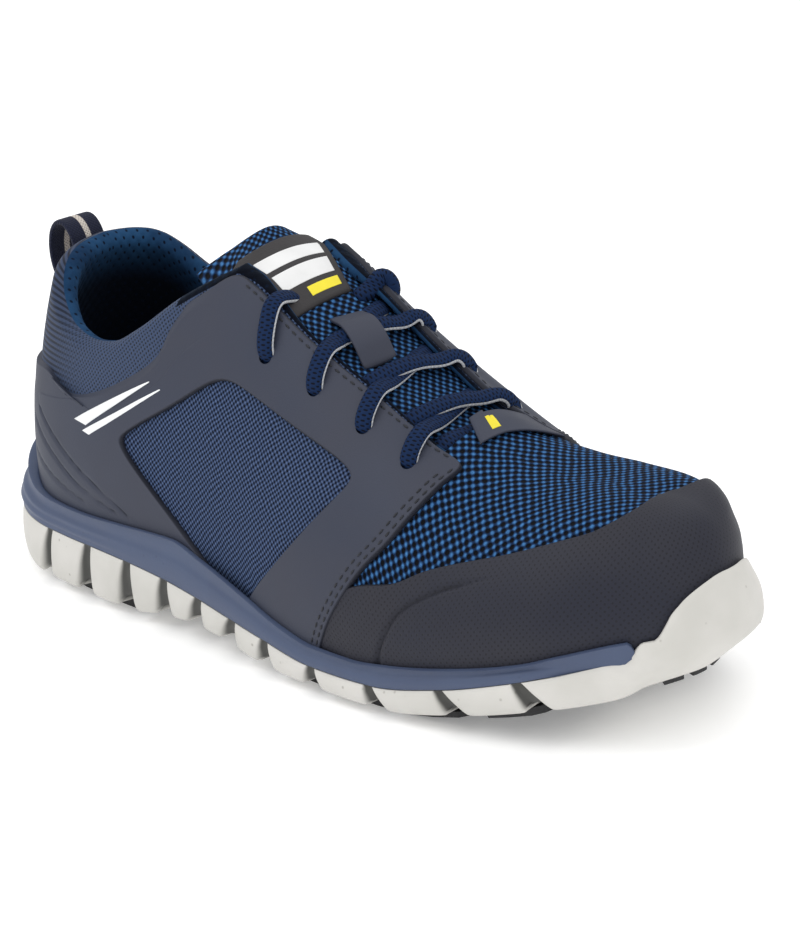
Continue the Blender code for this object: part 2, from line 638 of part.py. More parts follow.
def smooth_path(points, ups, count):
    """Even curve through a few points, with the up direction carried along."""
    points, ups = np.array(points), np.array(ups)
    far = np.concatenate([[0], np.cumsum(np.linalg.norm(np.diff(points, axis=0), axis=1))])
    where = np.linspace(0, far[-1], count)
    slope = np.gradient(points, far, axis=0)
    i = np.clip(np.searchsorted(far, where) - 1, 0, len(far) - 2)
    step = (far[i + 1] - far[i])[:, None]
    u = (where - far[i])[:, None] / step
    w = 1 - u
    path = points[i] * (1 + 2 * u) * w * w + slope[i] * step * u * w * w
    path = path + points[i + 1] * u * u * (3 - 2 * u) - slope[i + 1] * step * u * u * w
    up = np.column_stack([np.interp(where, far, ups[:, c]) for c in range(3)])
    return path, up


def lace(name, spots, count):
    """Lace laid through spots, each a function of the height above its seat."""
    points = [spot(0.0) for spot in spots]
    ups = [spot(1.0) - spot(0.0) for spot in spots]
    path, up = smooth_path(points, ups, count)
    along = np.gradient(path, axis=0)
    return strap(name, path, np.cross(up, along), LACE_WIDTH / 2, LACE_THICK / 2, navy_cloth, 6)


def on_skin(t, phi, medial, lift):
    station = np.array(ROUND - t if medial else t)
    return lambda h: skin(station, np.array(phi), lift + h)


def on_tongue(t, q, lift):
    return lambda h: tongue_point(np.array(t), np.array(q), lift + h)


OVER_STAY = OVERLAY_HIGH + 0.4 + LACE_THICK / 2
ON_TONGUE = 0.5 + LACE_THICK / 2


def crossing_spots(k, medial, extra):
    """From the outside of an eyelet over its stay, across the tongue to the edge of the far stay."""
    sign = 1.0 if medial else -1.0
    t0, phi0 = eyelets(medial)[k]
    t1 = eyelets(medial)[k + 1][0]

    def mix(part):
        return t0 + (t1 - t0) * part
    edge = float(throat_angle(mix(0.06)))
    return [on_skin(t0, phi0, medial, OVER_STAY), on_skin(mix(0.03), (phi0 + edge) / 2, medial, OVER_STAY + 0.3),
            on_skin(mix(0.06), edge, medial, OVER_STAY + 0.2),
            on_tongue(mix(0.13), 0.36 * sign, ON_TONGUE + 2.6), on_tongue(mix(0.21), 0.0, ON_TONGUE + extra),
            on_tongue(mix(0.29), -0.28 * sign, ON_TONGUE + 0.2), on_tongue(mix(0.38), -0.47 * sign, ON_TONGUE)]


def build_laces():
    names = ("lace_cross_low", "lace_cross_mid", "lace_cross_top")
    for k, name in enumerate(names):
        under = lace(name, crossing_spots(k, False, 0.0), 10)
        over = lace(name + "_over", crossing_spots(k, True, LACE_THICK - 0.5), 10)
        boolean(under, over, "UNION")
    bar = [on_tongue(8.5, q, ON_TONGUE) for q in (-0.5, -0.25, 0.0, 0.25, 0.5)]
    lace("lace_bar", bar, 7)
    for name, medial in (("lace_end_lateral", False), ("lace_end_medial", True)):
        sign = 1.0 if medial else -1.0
        top, phi = eyelets(medial)[-1]
        edge = float(throat_angle(top - 0.12))
        spots = [on_skin(top, phi, medial, OVER_STAY), on_skin(top - 0.07, (phi + edge) / 2, medial, OVER_STAY + 0.3),
                 on_skin(top - 0.12, edge, medial, OVER_STAY + 0.2), on_tongue(top - 0.15, 0.42 * sign, ON_TONGUE + 1.6)]
        lace(name, spots, 8)


def build_keeper():
    spots = [(6.44, 1.2), (6.52, 2.8), (6.63, 5.5), (6.76, 6.3), (6.89, 5.5), (7.0, 2.8), (7.08, 1.0)]
    path = [tongue_point(np.array(t), np.array(0.0), lift) for t, lift in spots]
    return strap("lace_keeper", path, [(0, 1, 0)] * len(path), 5.0, 0.6, grey_film)


def build_tag():
    t = np.linspace(8.32, 8.7, 4)[:, None]
    q = np.linspace(0.0, 0.5, 5)[None, :]
    low = ON_TONGUE + LACE_THICK / 2 + 0.5
    return from_patch("throat_tag", tongue_point(t, q, low), tongue_point(t, q, low + 1.0), grey_film)


# Dark tread pads: distance from the heel where each starts and ends.
TREAD = (("heel_1", 14.5, 30.0), ("heel_2", 35.0, 52.5), ("heel_3", 57.5, 75.5), ("fore_1", 155.0, 173.5),
         ("fore_2", 178.5, 201.5), ("fore_3", 206.5, 231.0), ("toe", 236.5, 256.0))
TREAD_DROP = {"fore_3": 0.9, "toe": 0.3}
TREAD_INSET = 3.2
TREAD_MIDDLE = 3.0
TREAD_CORNER = 2.6


def build_pads():
    for name, start, end in TREAD:
        for side in ("lateral", "medial"):
            station = [station_at(x) for x in (start, (start + end) / 2, end)]
            rows = [section(np.array(t if side == "lateral" else ROUND - t)) for t in station]
            sign = -1.0 if side == "lateral" else 1.0
            outer = [row[1] - sign * TREAD_INSET for row in rows]
            inner = 1.0 + sign * TREAD_MIDDLE
            c = TREAD_CORNER
            slope = (outer[2] - outer[0]) / (end - start)
            plan = [(start + c, inner), (end - c, inner), (end, inner + sign * c), (end, outer[2] - sign * c),
                    (end - c, outer[2] - slope * c), ((start + end) / 2, outer[1]), (start + c, outer[0] + slope * c),
                    (start, outer[0] - sign * c), (start, inner + sign * c)]
            plan = np.array(plan)
            high = np.column_stack([plan, bottom_z(plan[:, 0]) - SEAT_GAP - TREAD_DROP.get(name, 0.0)])
            low = high.copy()
            low[:, 2] -= PAD_THICK - TREAD_DROP.get(name, 0.0)
            from_rings(f"tread_{name}_{side}", [low, high], dark_rubber, caps=True)


upper = build_upper()
quarter_lateral = build_quarter("quarter_lateral", False)
quarter_medial = build_quarter("quarter_medial", True)
build_toe_cap()
build_heel_tape()
build_pull_loop()
build_tongue()
build_label()
build_insole()
build_midsole()
build_outsole()
build_laces()
build_keeper()
build_tag()
build_pads()
cut_eyelets({"lateral": (upper, quarter_lateral), "medial": (upper, quarter_medial)})
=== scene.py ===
import math
import bmesh
import bpy
import numpy as np
from mathutils import Matrix, Quaternion, Vector


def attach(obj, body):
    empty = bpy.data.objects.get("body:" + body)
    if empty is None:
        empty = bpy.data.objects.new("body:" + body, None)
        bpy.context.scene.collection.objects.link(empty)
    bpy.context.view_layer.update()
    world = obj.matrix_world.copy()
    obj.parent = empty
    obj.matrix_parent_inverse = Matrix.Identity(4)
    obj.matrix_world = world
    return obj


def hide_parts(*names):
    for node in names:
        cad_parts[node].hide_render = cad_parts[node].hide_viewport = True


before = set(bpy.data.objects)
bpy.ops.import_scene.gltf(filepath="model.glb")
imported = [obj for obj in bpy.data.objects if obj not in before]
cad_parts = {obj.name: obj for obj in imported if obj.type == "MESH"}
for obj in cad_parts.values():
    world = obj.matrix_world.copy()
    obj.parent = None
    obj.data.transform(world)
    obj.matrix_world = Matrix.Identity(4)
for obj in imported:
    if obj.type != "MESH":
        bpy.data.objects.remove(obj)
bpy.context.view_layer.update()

print("frame loaded:", len(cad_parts), "nodes")

# stations count round the last: 0 at the back of the heel, 13 at the tip of the toe, on round the medial side to 26
# rows from heel to toe: lateral x y, medial x y, ridge x y z, swell, squareness (mm from the heel)
lastShape = {
    "rows": (
        (6, 0, 6, 0, 72, 0, 160, .5, 2), (10.5, -18.5, 10.5, 17.5, 72, 0, 160, .8, 2),
        (23.5, -33.5, 23.5, 31.5, 74, 0, 160, 1.5, 2), (45, -40.5, 45, 37.5, 80, 0, 158, 2, 2),
        (75, -42.5, 77, 39, 92, 0, 153, 2, 2), (105, -43, 107, 36.5, 110, 0, 143, 2, 1.9),
        (135, -45, 136, 37.5, 134, .5, 127, 2, 1.85), (165, -47.5, 165, 42.5, 160, 1, 107, 2, 1.85),
        (193, -48, 193, 47.5, 187, 1.5, 88, 2, 1.95), (220, -45.5, 220, 48.5, 213, 2, 73.5, 2, 2.1),
        (245, -40.5, 246, 45.5, 236, 2.5, 68, 2, 2.4), (268.5, -31.5, 269.5, 36.5, 254, 2.5, 68.5, 2.5, 2.8),
        (286.5, -17, 287, 22, 264, 2.5, 68.3, 2.5, 3.1), (293.5, 2.5, 293.5, 2.5, 268, 2.5, 68, 2.5, 3.2)),
    "toe": 13, "round": 26, "middleX": 147.5, "wall": 2.0, "seat": 0.3, "swellPeak": 0.1055, "ridgeFrom": 84.0,
    # the medial stay: how far the laces pull it down, and where
    "sink": 1.3, "sinkAngles": (36, 54), "sinkEnd": (8.6, 9.3), "dip": 1.8, "dipAngles": (57, 68), "dipEnd": (8.1, 8.9),
    "stayFrom": (4.9, 6.0), "tagFrom": (8.3, 8.7), "tagAngles": (70, 86),
    # medial corner of the toe, by angle: drawn in low down, fuller at the shoulder
    "lowSpan": (13.0, 14.2, 14.9, 17.0), "highSpan": (13.4, 14.6, 15.9, 17.3),
    "toeLow": ((0, 2.4), (7, 3.5), (14, 3.9), (22, 2.6), (31, 1), (40, .1), (46, 0), (90, 0)),
    "toeHigh": ((0, 0), (36, 0), (48, 1.9), (55, 2.8), (62, 3), (70, 2.3), (80, .8), (88, 0), (90, 0))}

# heights by mm from the heel, grooves as top and foot, the bumper and all spans by station
soleShape = {
    "deck": ((0, 25), (20, 24.8), (60, 24), (100, 21.7), (135, 17.4), (165, 13.6), (190, 12.4), (205, 12.9),
             (230, 17.5), (255, 23.2), (275, 27), (293, 30)),
    "podTop": ((0, 22.2), (18, 21.8), (38, 20.6), (60, 20.7), (81, 20), (100, 18.5), (118, 16.4), (136, 14),
               (153, 12), (176, 9.7), (201, 10), (228, 14.4), (251, 20.4), (266, 24.8), (280, 29.3), (300, 31)),
    "bandTop": ((0, 43.5), (8, 41.8), (19, 36.5), (30, 32), (40, 31.2), (53, 31.2), (79, 32.2), (95, 33),
                (106, 33.3), (120, 30.2), (143, 24), (159, 19.3), (176, 16.4), (193, 16.4), (208, 17.9),
                (236, 22.7), (255, 27.3), (266, 31.2), (280, 35.6), (293, 38)),
    "bottom": ((0, 9), (12, 5.5), (22, 3.6), (30, 3), (78, 3), (98, 5.6), (115, 6.7), (133, 5.4), (153, 3),
               (204, 3), (234, 7.2), (259, 12.6), (275, 16.5), (290, 21.5), (300, 25)),
    "grooves": ((254, 260), (228, 234), (201, 204), (176, 176), (153, 152.5), (136, 133), (118, 115), (100, 98),
                (81, 78), (60, 55), (38, 32.5), (18, 12)),
    "bumper": ((11, 27), (11.6, 29.8), (11.74, 31.4), (11.83, 33.2), (11.93, 34.9), (12.03, 36.4), (12.10, 38.4),
               (12.16, 40.4), (12.22, 42.4), (12.32, 44.4), (12.43, 46.2), (12.73, 48.9), (12.9, 49.8), (13, 50)),
    "bumperSpan": (11.4, 11.85), "bandEnd": (11.7, 11.86), "bandTaper": (11.6, 11.88), "medialBumper": 0.45,
    "rollSpan": (12.55, 13.9, 15.0, 16.4), "heelFlare": 6.0, "heelFade": (1.1, 3.1), "edge": 4.8}
toeTip, fullRound = lastShape["toe"], lastShape["round"]


def together(*values):
    return np.broadcast_arrays(*(np.asarray(value, float) for value in values))


def unit(vectors):
    return vectors / np.linalg.norm(vectors, axis=-1, keepdims=True)


def runAlong(points):
    # mm from the first point of a line to each of them
    return np.concatenate([[0], np.cumsum(np.linalg.norm(np.diff(points, axis=0), axis=1))])


def runAcross(spots):
    # the same along every row of a grid
    steps = np.linalg.norm(np.diff(spots, axis=1), axis=2)
    return np.concatenate([np.zeros((len(spots), 1)), np.cumsum(steps, axis=1)], 1)


def blend(x, start, full):
    u = np.clip((np.asarray(x, float) - start) / (full - start), 0, 1)
    return u * u * (3 - 2 * u)


def between(x, start, full, fade, gone):
    # rises from start to full and falls again from fade to gone
    return blend(x, start, full) * (1 - blend(x, fade, gone))


def curveThrough(rows):
    # smooth curve that never overshoots its rows
    xs, ys = np.array(rows, float).T[:2]
    step = np.diff(xs)
    rise = np.diff(ys) / step
    slope = np.zeros(len(xs))
    slope[0], slope[-1] = rise[0], rise[-1]
    for i in range(1, len(xs) - 1):
        if rise[i - 1] * rise[i] > 0:
            a, b = 2 * step[i] + step[i - 1], step[i] + 2 * step[i - 1]
            slope[i] = (a + b) / (a / rise[i - 1] + b / rise[i])

    def value(x):
        x = np.clip(np.asarray(x, float), xs[0], xs[-1])
        i = np.clip(np.searchsorted(xs, x) - 1, 0, len(xs) - 2)
        u = (x - xs[i]) / step[i]
        w = 1 - u
        near = ys[i] * (1 + 2 * u) * w * w + slope[i] * step[i] * u * w * w
        return near + ys[i + 1] * u * u * (3 - 2 * u) - slope[i + 1] * step[i] * u * u * w
    return value


def closedCurve(values):
    # smooth curve through the rows of a closed ring, t counts rows
    n = len(values)
    matrix = 4 * np.eye(n) + np.roll(np.eye(n), 1, 0) + np.roll(np.eye(n), -1, 0)
    bend = np.linalg.solve(matrix, 6 * (np.roll(values, -1, 0) - 2 * values + np.roll(values, 1, 0)))

    def value(t):
        t = np.asarray(t, float) % n
        i = np.floor(t).astype(int) % n
        j = (i + 1) % n
        u = (t - np.floor(t))[..., None]
        w = 1 - u
        return w * values[i] + u * values[j] + ((w ** 3 - w) * bend[i] + (u ** 3 - u) * bend[j]) / 6
    return value


def sectionRing():
    ring = []
    for k in range(fullRound):
        row = lastShape["rows"][min(k, fullRound - k)]
        ring.append((row[:2] if k <= toeTip else row[2:4]) + row[4:])
    return np.array(ring, float)


section = closedCurve(sectionRing())
deckZ, podTopZ, bandTopZ, bottomZ, bumperZ = (
    curveThrough(soleShape[name]) for name in ("deck", "podTop", "bandTop", "bottom", "bumper"))
toeLow, toeHigh = curveThrough(lastShape["toeLow"]), curveThrough(lastShape["toeHigh"])
tinyStep = 1e-3  # step of a slope, in stations or radians


def fold(t):
    # stations of both sides counted alike, from the heel
    t = np.asarray(t, float) % fullRound
    return np.minimum(t, fullRound - t)


def onSide(t, medial):
    return fullRound - t if medial else t


def isMedial(t):
    return np.asarray(t, float) > toeTip


def bothSides(side):
    return np.concatenate([side, fullRound - side[-2::-1]])


def outward(t):
    along = (section(t + tinyStep) - section(t - tinyStep))[..., :2]
    return unit(np.stack([along[..., 1], -along[..., 0]], -1))


def lastSpot(t, phi):
    # mm from the heel, at a station and an angle in radians
    t, phi = together(t, phi)
    row = section(t)
    power = 2 / row[..., 6]
    across = np.cos(phi).clip(0) ** power
    up = np.sin(phi).clip(0) ** power
    foot = deckZ(row[..., 0]) + lastShape["seat"]
    swell = row[..., 5] * up * (1 - up) ** 3 / lastShape["swellPeak"]
    plan = row[..., :2] + (row[..., 2:4] - row[..., :2]) * (1 - across)[..., None]
    plan = plan + outward(t) * swell[..., None]
    return np.concatenate([plan, (foot + (row[..., 4] - foot) * up)[..., None]], -1)


def sideNormal(t, phi):
    margin = 0.02  # keeps the slopes off both ends of the section
    phi = np.clip(phi, margin, math.pi / 2 - margin)
    along = lastSpot(t + tinyStep, phi) - lastSpot(t - tinyStep, phi)
    up = lastSpot(t, phi + tinyStep) - lastSpot(t, phi - tinyStep)
    return unit(np.cross(along, up))


def staySink(t, phi):
    # the laces pull the medial stay down, but not the ridge under the tag
    s, plan = fold(t), lastShape
    underTag = blend(s, *plan["tagFrom"]) * blend(phi, *plan["tagAngles"])
    onStay = blend(s, *plan["stayFrom"]) * isMedial(t) * (1 - underTag)
    sink = plan["sink"] * blend(phi, *plan["sinkAngles"]) * (1 - blend(s, *plan["sinkEnd"]))
    dip = plan["dip"] * blend(phi, *plan["dipAngles"]) * (1 - blend(s, *plan["dipEnd"]))
    return onStay * (sink + dip)


def toeCorner(t, phi):
    return between(t, *lastShape["highSpan"]) * toeHigh(phi) - between(t, *lastShape["lowSpan"]) * toeLow(phi)


def skin(t, phi, lift=0.0):
    # spot on the last at a station and angle (degrees), moved out by lift
    t, phi, lift = together(t, phi, lift)
    lift = lift - staySink(t, phi) + toeCorner(t, phi)
    angle = np.radians(phi)
    here = sideNormal(t, angle)
    both = unit(here + sideNormal(fullRound - t, angle))
    ridge = lastShape["ridgeFrom"]
    mix = np.clip((phi - ridge) / (90 - ridge), 0, 1)[..., None]  # both sides meet in one normal at the ridge
    return lastSpot(t, angle) + lift[..., None] * unit(here * (1 - mix) + both * mix)


def skinUp(t, phi):
    return skin(t, phi, 1.0) - skin(t, phi, 0.0)


def angleAt(t, z):
    # angle at which the section of a station is z high
    row = section(t)
    foot = deckZ(row[..., 0]) + lastShape["seat"]
    part = np.clip((z - foot) / (row[..., 4] - foot), 0, 1)
    return np.degrees(np.arcsin(part ** (row[..., 6] / 2)))


def outline(t, offset):
    return section(t)[..., :2] + outward(t) * np.broadcast_to(offset, np.shape(t))[..., None]


def throughRows(rows, s):
    # smooth curve through whole rows, s counts rows
    rows = np.asarray(rows, float)
    i = np.clip(np.floor(s).astype(int), 0, len(rows) - 2)
    u = (np.asarray(s, float) - i)[..., None]
    a, b, c, d = (rows[np.clip(i + k, 0, len(rows) - 1)] for k in (-1, 0, 1, 2))
    return 0.5 * (2 * b + (c - a) * u + (2 * a - 5 * b + 4 * c - d) * u ** 2 + (3 * b - a - 3 * c + d) * u ** 3)


def spotsAlong(points, count):
    # evenly spaced spots on a smooth line through a few points
    fine = throughRows(points, np.linspace(0, len(points) - 1, 30 * len(points)))
    far = runAlong(fine[:, :3])
    where = np.linspace(0, far[-1], count)
    return np.column_stack([np.interp(where, far, fine[:, c]) for c in range(fine.shape[1])]), where


perStation, perDegree = 20, 2  # steps of the tables below
tableT = np.linspace(0, fullRound, fullRound * perStation + 1)
tablePhi = np.linspace(0, 90, 90 * perDegree + 1)
edgeY = outline(tableT, soleShape["edge"])[:, 1]
middleY = float((edgeY.max() + edgeY.min()) / 2)


def rowSpot(points):
    # mm from the heel to metres in the shared frame
    return (np.asarray(points, float) - (lastShape["middleX"], middleY, 0)) * 0.001


# run of the cloth over the last in mm: along the side and up the section
tableSpot = lastSpot(tableT[:, None], np.radians(tablePhi)[None, :])
upRun = runAcross(tableSpot)
alongRun = runAlong(tableSpot[:, 20 * perDegree])


def sideCloth(t, phi):
    t, phi = together(np.asarray(t, float) % (fullRound + 1e-7), phi)
    i = np.clip((t * perStation).astype(int), 0, len(tableT) - 2)
    j = np.clip((phi * perDegree).astype(int), 0, len(tablePhi) - 2)
    u, v = t * perStation - i, phi * perDegree - j
    low = upRun[i, j] * (1 - u) + upRun[i + 1, j] * u
    high = upRun[i, j + 1] * (1 - u) + upRun[i + 1, j + 1] * u
    return np.stack([np.interp(t, tableT, alongRun), low * (1 - v) + high * v], -1)


ridgeRows = section(np.linspace(4, toeTip, 90))[:, 2:5]
ridgeRun = runAlong(ridgeRows)
pastRidge = 1.2  # mm of cloth per mm beyond the end of the ridge


def topCloth(spots):
    x, y, z = np.moveaxis(spots, -1, 0)
    ridgeX = ridgeRows[:, 0]
    run = np.interp(x, ridgeX, ridgeRun) + np.maximum(x - ridgeX[-1], 0) * pastRidge
    across = y - np.interp(x, ridgeX, ridgeRows[:, 1])
    return np.stack([run, np.sign(across) * np.hypot(across, z - np.interp(x, ridgeX, ridgeRows[:, 2]))], -1)


def gridPiece(name, spots, cloth, finishes, rim=None, kinds=None, drop=None, thick=0.0, flip=False):
    # a grid moved onto rows of spots, with its cloth run as a UV map in mm
    rows, cols = spots.shape[:2]
    bm = bmesh.new()
    bmesh.ops.create_grid(bm, x_segments=rows - 1, y_segments=cols - 1, size=0.5)
    at = np.array([v.co[:2] for v in bm.verts]) + 0.5
    i = np.rint(at[:, 0] * (rows - 1)).astype(int)
    j = np.rint(at[:, 1] * (cols - 1)).astype(int)
    placed = rowSpot(spots)[i, j]
    run = cloth[i, j]
    edge = np.full(len(i), 9.0) if rim is None else rim[i, j]
    kind = np.zeros(len(i), int) if kinds is None else kinds[i, j]
    lost = np.zeros(len(i), bool) if drop is None else drop[i, j]
    uvLayer = bm.loops.layers.uv.new("weave")
    rimLayer = bm.verts.layers.float.new("rim")
    bm.verts.index_update()
    for v, spot, d in zip(bm.verts, placed, edge):
        v.co = spot
        v[rimLayer] = d
    for face in bm.faces:
        face.smooth = True
        for loop in face.loops:
            loop[uvLayer].uv = run[loop.vert.index]
        face.material_index = int(kind[face.loops[0].vert.index])
    gone = [f for f in bm.faces if all(lost[v.index] for v in f.verts)]
    bmesh.ops.delete(bm, geom=gone, context="FACES")
    bmesh.ops.remove_doubles(bm, verts=bm.verts, dist=2e-6)
    bmesh.ops.dissolve_degenerate(bm, dist=1e-7, edges=bm.edges)
    if flip:
        bmesh.ops.reverse_faces(bm, faces=bm.faces)
    return finishPiece(name, bm, finishes, thick)


def finishPiece(name, bm, finishes, thick=0.0):
    mesh = bpy.data.meshes.new(name)
    bm.to_mesh(mesh)
    bm.free()
    piece = bpy.data.objects.new(name, mesh)
    bpy.context.scene.collection.objects.link(piece)
    for finish in finishes:
        mesh.materials.append(finish)
    if thick:
        wall = piece.modifiers.new("wall", "SOLIDIFY")
        wall.thickness = thick
        wall.offset = -1.0
    return piece


def dress(piece, slotName, *nodes):
    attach(piece, "root")
    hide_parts(*nodes)


# shader groups shared by the finishes

netLook = {"wobbleScale": 0.12, "wobble": (1.6, 1.6, 0), "holeSoft": 0.16, "toneScale": 1.7}
grainLook = {"speckScale": 260.0, "speckSize": (0.06, 0.17), "patchScale": 60.0, "patch": (0.5, 0.62)}


def newGroup(name, inputs, outputs):
    group = bpy.data.node_groups.new(name, "ShaderNodeTree")
    for label, value in inputs:
        kind = "NodeSocketVector" if value is None else "NodeSocketFloat"
        socket = group.interface.new_socket(label, in_out="INPUT", socket_type=kind)
        if value is not None:
            socket.default_value = value
    for label in outputs:
        group.interface.new_socket(label, in_out="OUTPUT", socket_type="NodeSocketFloat")
    return group, group.nodes.new("NodeGroupInput").outputs, group.nodes.new("NodeGroupOutput").inputs


def feed(tree, socket, value):
    if hasattr(value, "is_output"):
        tree.links.new(value, socket)
    else:
        socket.default_value = value


def calc(tree, operation, a, b=0.0, c=0.0):
    node = tree.nodes.new("ShaderNodeMath")
    node.operation = operation
    for socket, value in zip(node.inputs, (a, b, c)):
        feed(tree, socket, value)
    return node.outputs[0]


def times(tree, a, b):
    return calc(tree, "MULTIPLY", a, b)


def ramp(tree, value, low, high, toLow=0.0, toHigh=1.0):
    node = tree.nodes.new("ShaderNodeMapRange")
    node.interpolation_type = "SMOOTHSTEP"
    for label, x in (("Value", value), ("From Min", low), ("From Max", high), ("To Min", toLow), ("To Max", toHigh)):
        feed(tree, node.inputs[label], x)
    return node.outputs["Result"]


def mixColour(tree, factor, a, b):
    node = tree.nodes.new("ShaderNodeMix")
    node.data_type = "RGBA"
    feed(tree, node.inputs[0], factor)
    for socket, tone in ((node.inputs[6], a), (node.inputs[7], b)):
        feed(tree, socket, tone if hasattr(tone, "is_output") else (*tone, 1))
    return node.outputs[2]


def noise(tree, vector, scale, detail=3.0, rough=0.5):
    node = tree.nodes.new("ShaderNodeTexNoise")
    for label, value in (("Vector", vector), ("Scale", scale), ("Detail", detail), ("Roughness", rough)):
        feed(tree, node.inputs[label], value)
    return node.outputs["Fac"]


def splitRun(tree, run):
    node = tree.nodes.new("ShaderNodeSeparateXYZ")
    tree.links.new(run, node.inputs[0])
    return node.outputs[0], node.outputs[1]


def makeNet():
    # open net: holes stand in staggered rows, threads rise between them
    tree, given, made = newGroup(
        "openNet", (("Run", None), ("Pitch", 3.0), ("Hole", 0.55), ("Stretch", 1.0)), ("Hole", "Height", "Tone"))
    wobble = tree.nodes.new("ShaderNodeTexNoise")
    tree.links.new(given["Run"], wobble.inputs["Vector"])
    wobble.inputs["Scale"].default_value = netLook["wobbleScale"]
    shift = tree.nodes.new("ShaderNodeVectorMath")
    shift.operation = "MULTIPLY_ADD"
    for socket, value in zip(shift.inputs, (wobble.outputs["Color"], netLook["wobble"], given["Run"])):
        feed(tree, socket, value)
    x, y = splitRun(tree, shift.outputs[0])
    perTurn = calc(tree, "DIVIDE", 2 * math.pi, given["Pitch"])
    across = calc(tree, "COSINE", times(tree, x, perTurn))
    along = calc(tree, "COSINE", times(tree, times(tree, y, given["Stretch"]), perTurn))
    cell = calc(tree, "MULTIPLY_ADD", times(tree, across, along), 0.5, 0.5)
    hole = ramp(tree, cell, given["Hole"], calc(tree, "ADD", given["Hole"], netLook["holeSoft"]))
    height = calc(tree, "SUBTRACT", 1.0, cell)
    tone = noise(tree, given["Run"], netLook["toneScale"], 2.0)
    for label, value in (("Hole", hole), ("Height", height), ("Tone", tone)):
        tree.links.new(value, made[label])
    return tree


def makeGrain():
    # fine uneven surface with soft cloudy tone
    tree, given, made = newGroup(
        "fineGrain", (("Place", None), ("Grain", 900.0), ("Cloud", 35.0)), ("Height", "Cloud", "Speck"))
    fine = noise(tree, given["Place"], given["Grain"], 4.0, 0.62)
    cloud = noise(tree, given["Place"], given["Cloud"], 3.0)
    dots = tree.nodes.new("ShaderNodeTexVoronoi")
    tree.links.new(given["Place"], dots.inputs["Vector"])
    dots.inputs["Scale"].default_value = grainLook["speckScale"]
    speck = ramp(tree, dots.outputs["Distance"], *grainLook["speckSize"], 1.0, 0.0)
    patch = ramp(tree, noise(tree, given["Place"], grainLook["patchScale"], 2.0), *grainLook["patch"])
    for label, value in (("Height", fine), ("Cloud", cloud), ("Speck", times(tree, speck, patch))):
        tree.links.new(value, made[label])
    return tree


openNet = makeNet()
fineGrain = makeGrain()


def newFinish(name, colour, roughness, sheen=0.0, specular=0.5):
    finish = bpy.data.materials.new(name)
    finish.use_nodes = True
    tree = finish.node_tree
    shader = tree.nodes["Principled BSDF"].inputs
    for label, value in (("Base Color", (*colour, 1)), ("Roughness", roughness), ("Specular IOR Level", specular),
                         ("Sheen Weight", sheen), ("Sheen Roughness", 0.5), ("Coat Weight", 0.0)):
        shader[label].default_value = value
    return finish, tree, shader


def useGroup(tree, group, **values):
    node = tree.nodes.new("ShaderNodeGroup")
    node.node_tree = group
    for label, value in values.items():
        feed(tree, node.inputs[label], value)
    return node.outputs


def clothRun(tree):
    node = tree.nodes.new("ShaderNodeUVMap")
    node.uv_map = "weave"
    return node.outputs[0]


def weave(tree, pitch, hole, stretch=1.0):
    return useGroup(tree, openNet, Run=clothRun(tree), Pitch=pitch, Hole=hole, Stretch=stretch)


def grained(tree, grain, cloud):
    place = tree.nodes.new("ShaderNodeTexCoord").outputs["Object"]
    return useGroup(tree, fineGrain, Place=place, Grain=grain, Cloud=cloud)


def rimWidth(tree):
    node = tree.nodes.new("ShaderNodeAttribute")
    node.attribute_name = "rim"
    return node.outputs["Fac"]


def paint(tree, shader, factor, a, b):
    tree.links.new(mixColour(tree, factor, a, b), shader["Base Color"])


def bump(tree, shader, height, strength, distance):
    node = tree.nodes.new("ShaderNodeBump")
    node.inputs["Strength"].default_value = strength
    node.inputs["Distance"].default_value = distance
    tree.links.new(height, node.inputs["Height"])
    tree.links.new(node.outputs[0], shader["Normal"])


tones = {
    "vamp": ((0.006, 0.022, 0.068), (0.055, 0.185, 0.43), (0.001, 0.0016, 0.0035)),  # thread, painted highlight on its raised top, gap
    "window": ((0.032, 0.053, 0.115), (0.10, 0.147, 0.272), (0.003, 0.005, 0.012)),
    "collar": (0.02, 0.034, 0.075), "collarDots": ((0.036, 0.058, 0.118), (0.003, 0.005, 0.012)),
    "collarRibShading": ((0.005, 0.009, 0.022), (0.030, 0.047, 0.095)),
    "lining": (0.006, 0.022, 0.07), "liningCloud": ((0.006, 0.026, 0.070), (0.013, 0.052, 0.125)),
    "liningSheen": (0.25, 0.5, 0.9, 1), "liningDeepShade": (0.0006, 0.0014, 0.005), "liningHole": (0.001, 0.004, 0.013),
    "filmDot": (0.003, 0.003, 0.006), "filmEdgeShade": (0.008, 0.009, 0.015),
    "lace": (0.005, 0.014, 0.05), "laceBraid": ((0.0055, 0.0185, 0.062), (0.001, 0.0022, 0.008)),
    "laceEdge": (0.55, 0.56, 0.58),
    "web": (0.006, 0.009, 0.028), "webStripe": (0.55, 0.50, 0.45), "webGap": (0.002, 0.003, 0.008)}


def netFinish(name, thread, top, gap, pitch, hole, depth):
    finish, tree, shader = newFinish(name, thread, 0.8, specular=0.1)
    net = weave(tree, pitch, hole)
    # the raised tops of the threads are painted lighter: a painted highlight
    lit = mixColour(tree, ramp(tree, net["Height"], 0.5, 1.0), thread, top)
    lit = mixColour(tree, ramp(tree, net["Tone"], 0.3, 0.75, 0.0, 0.35), lit, gap)
    paint(tree, shader, net["Hole"], lit, gap)
    bump(tree, shader, net["Height"], 0.9, depth)
    return finish


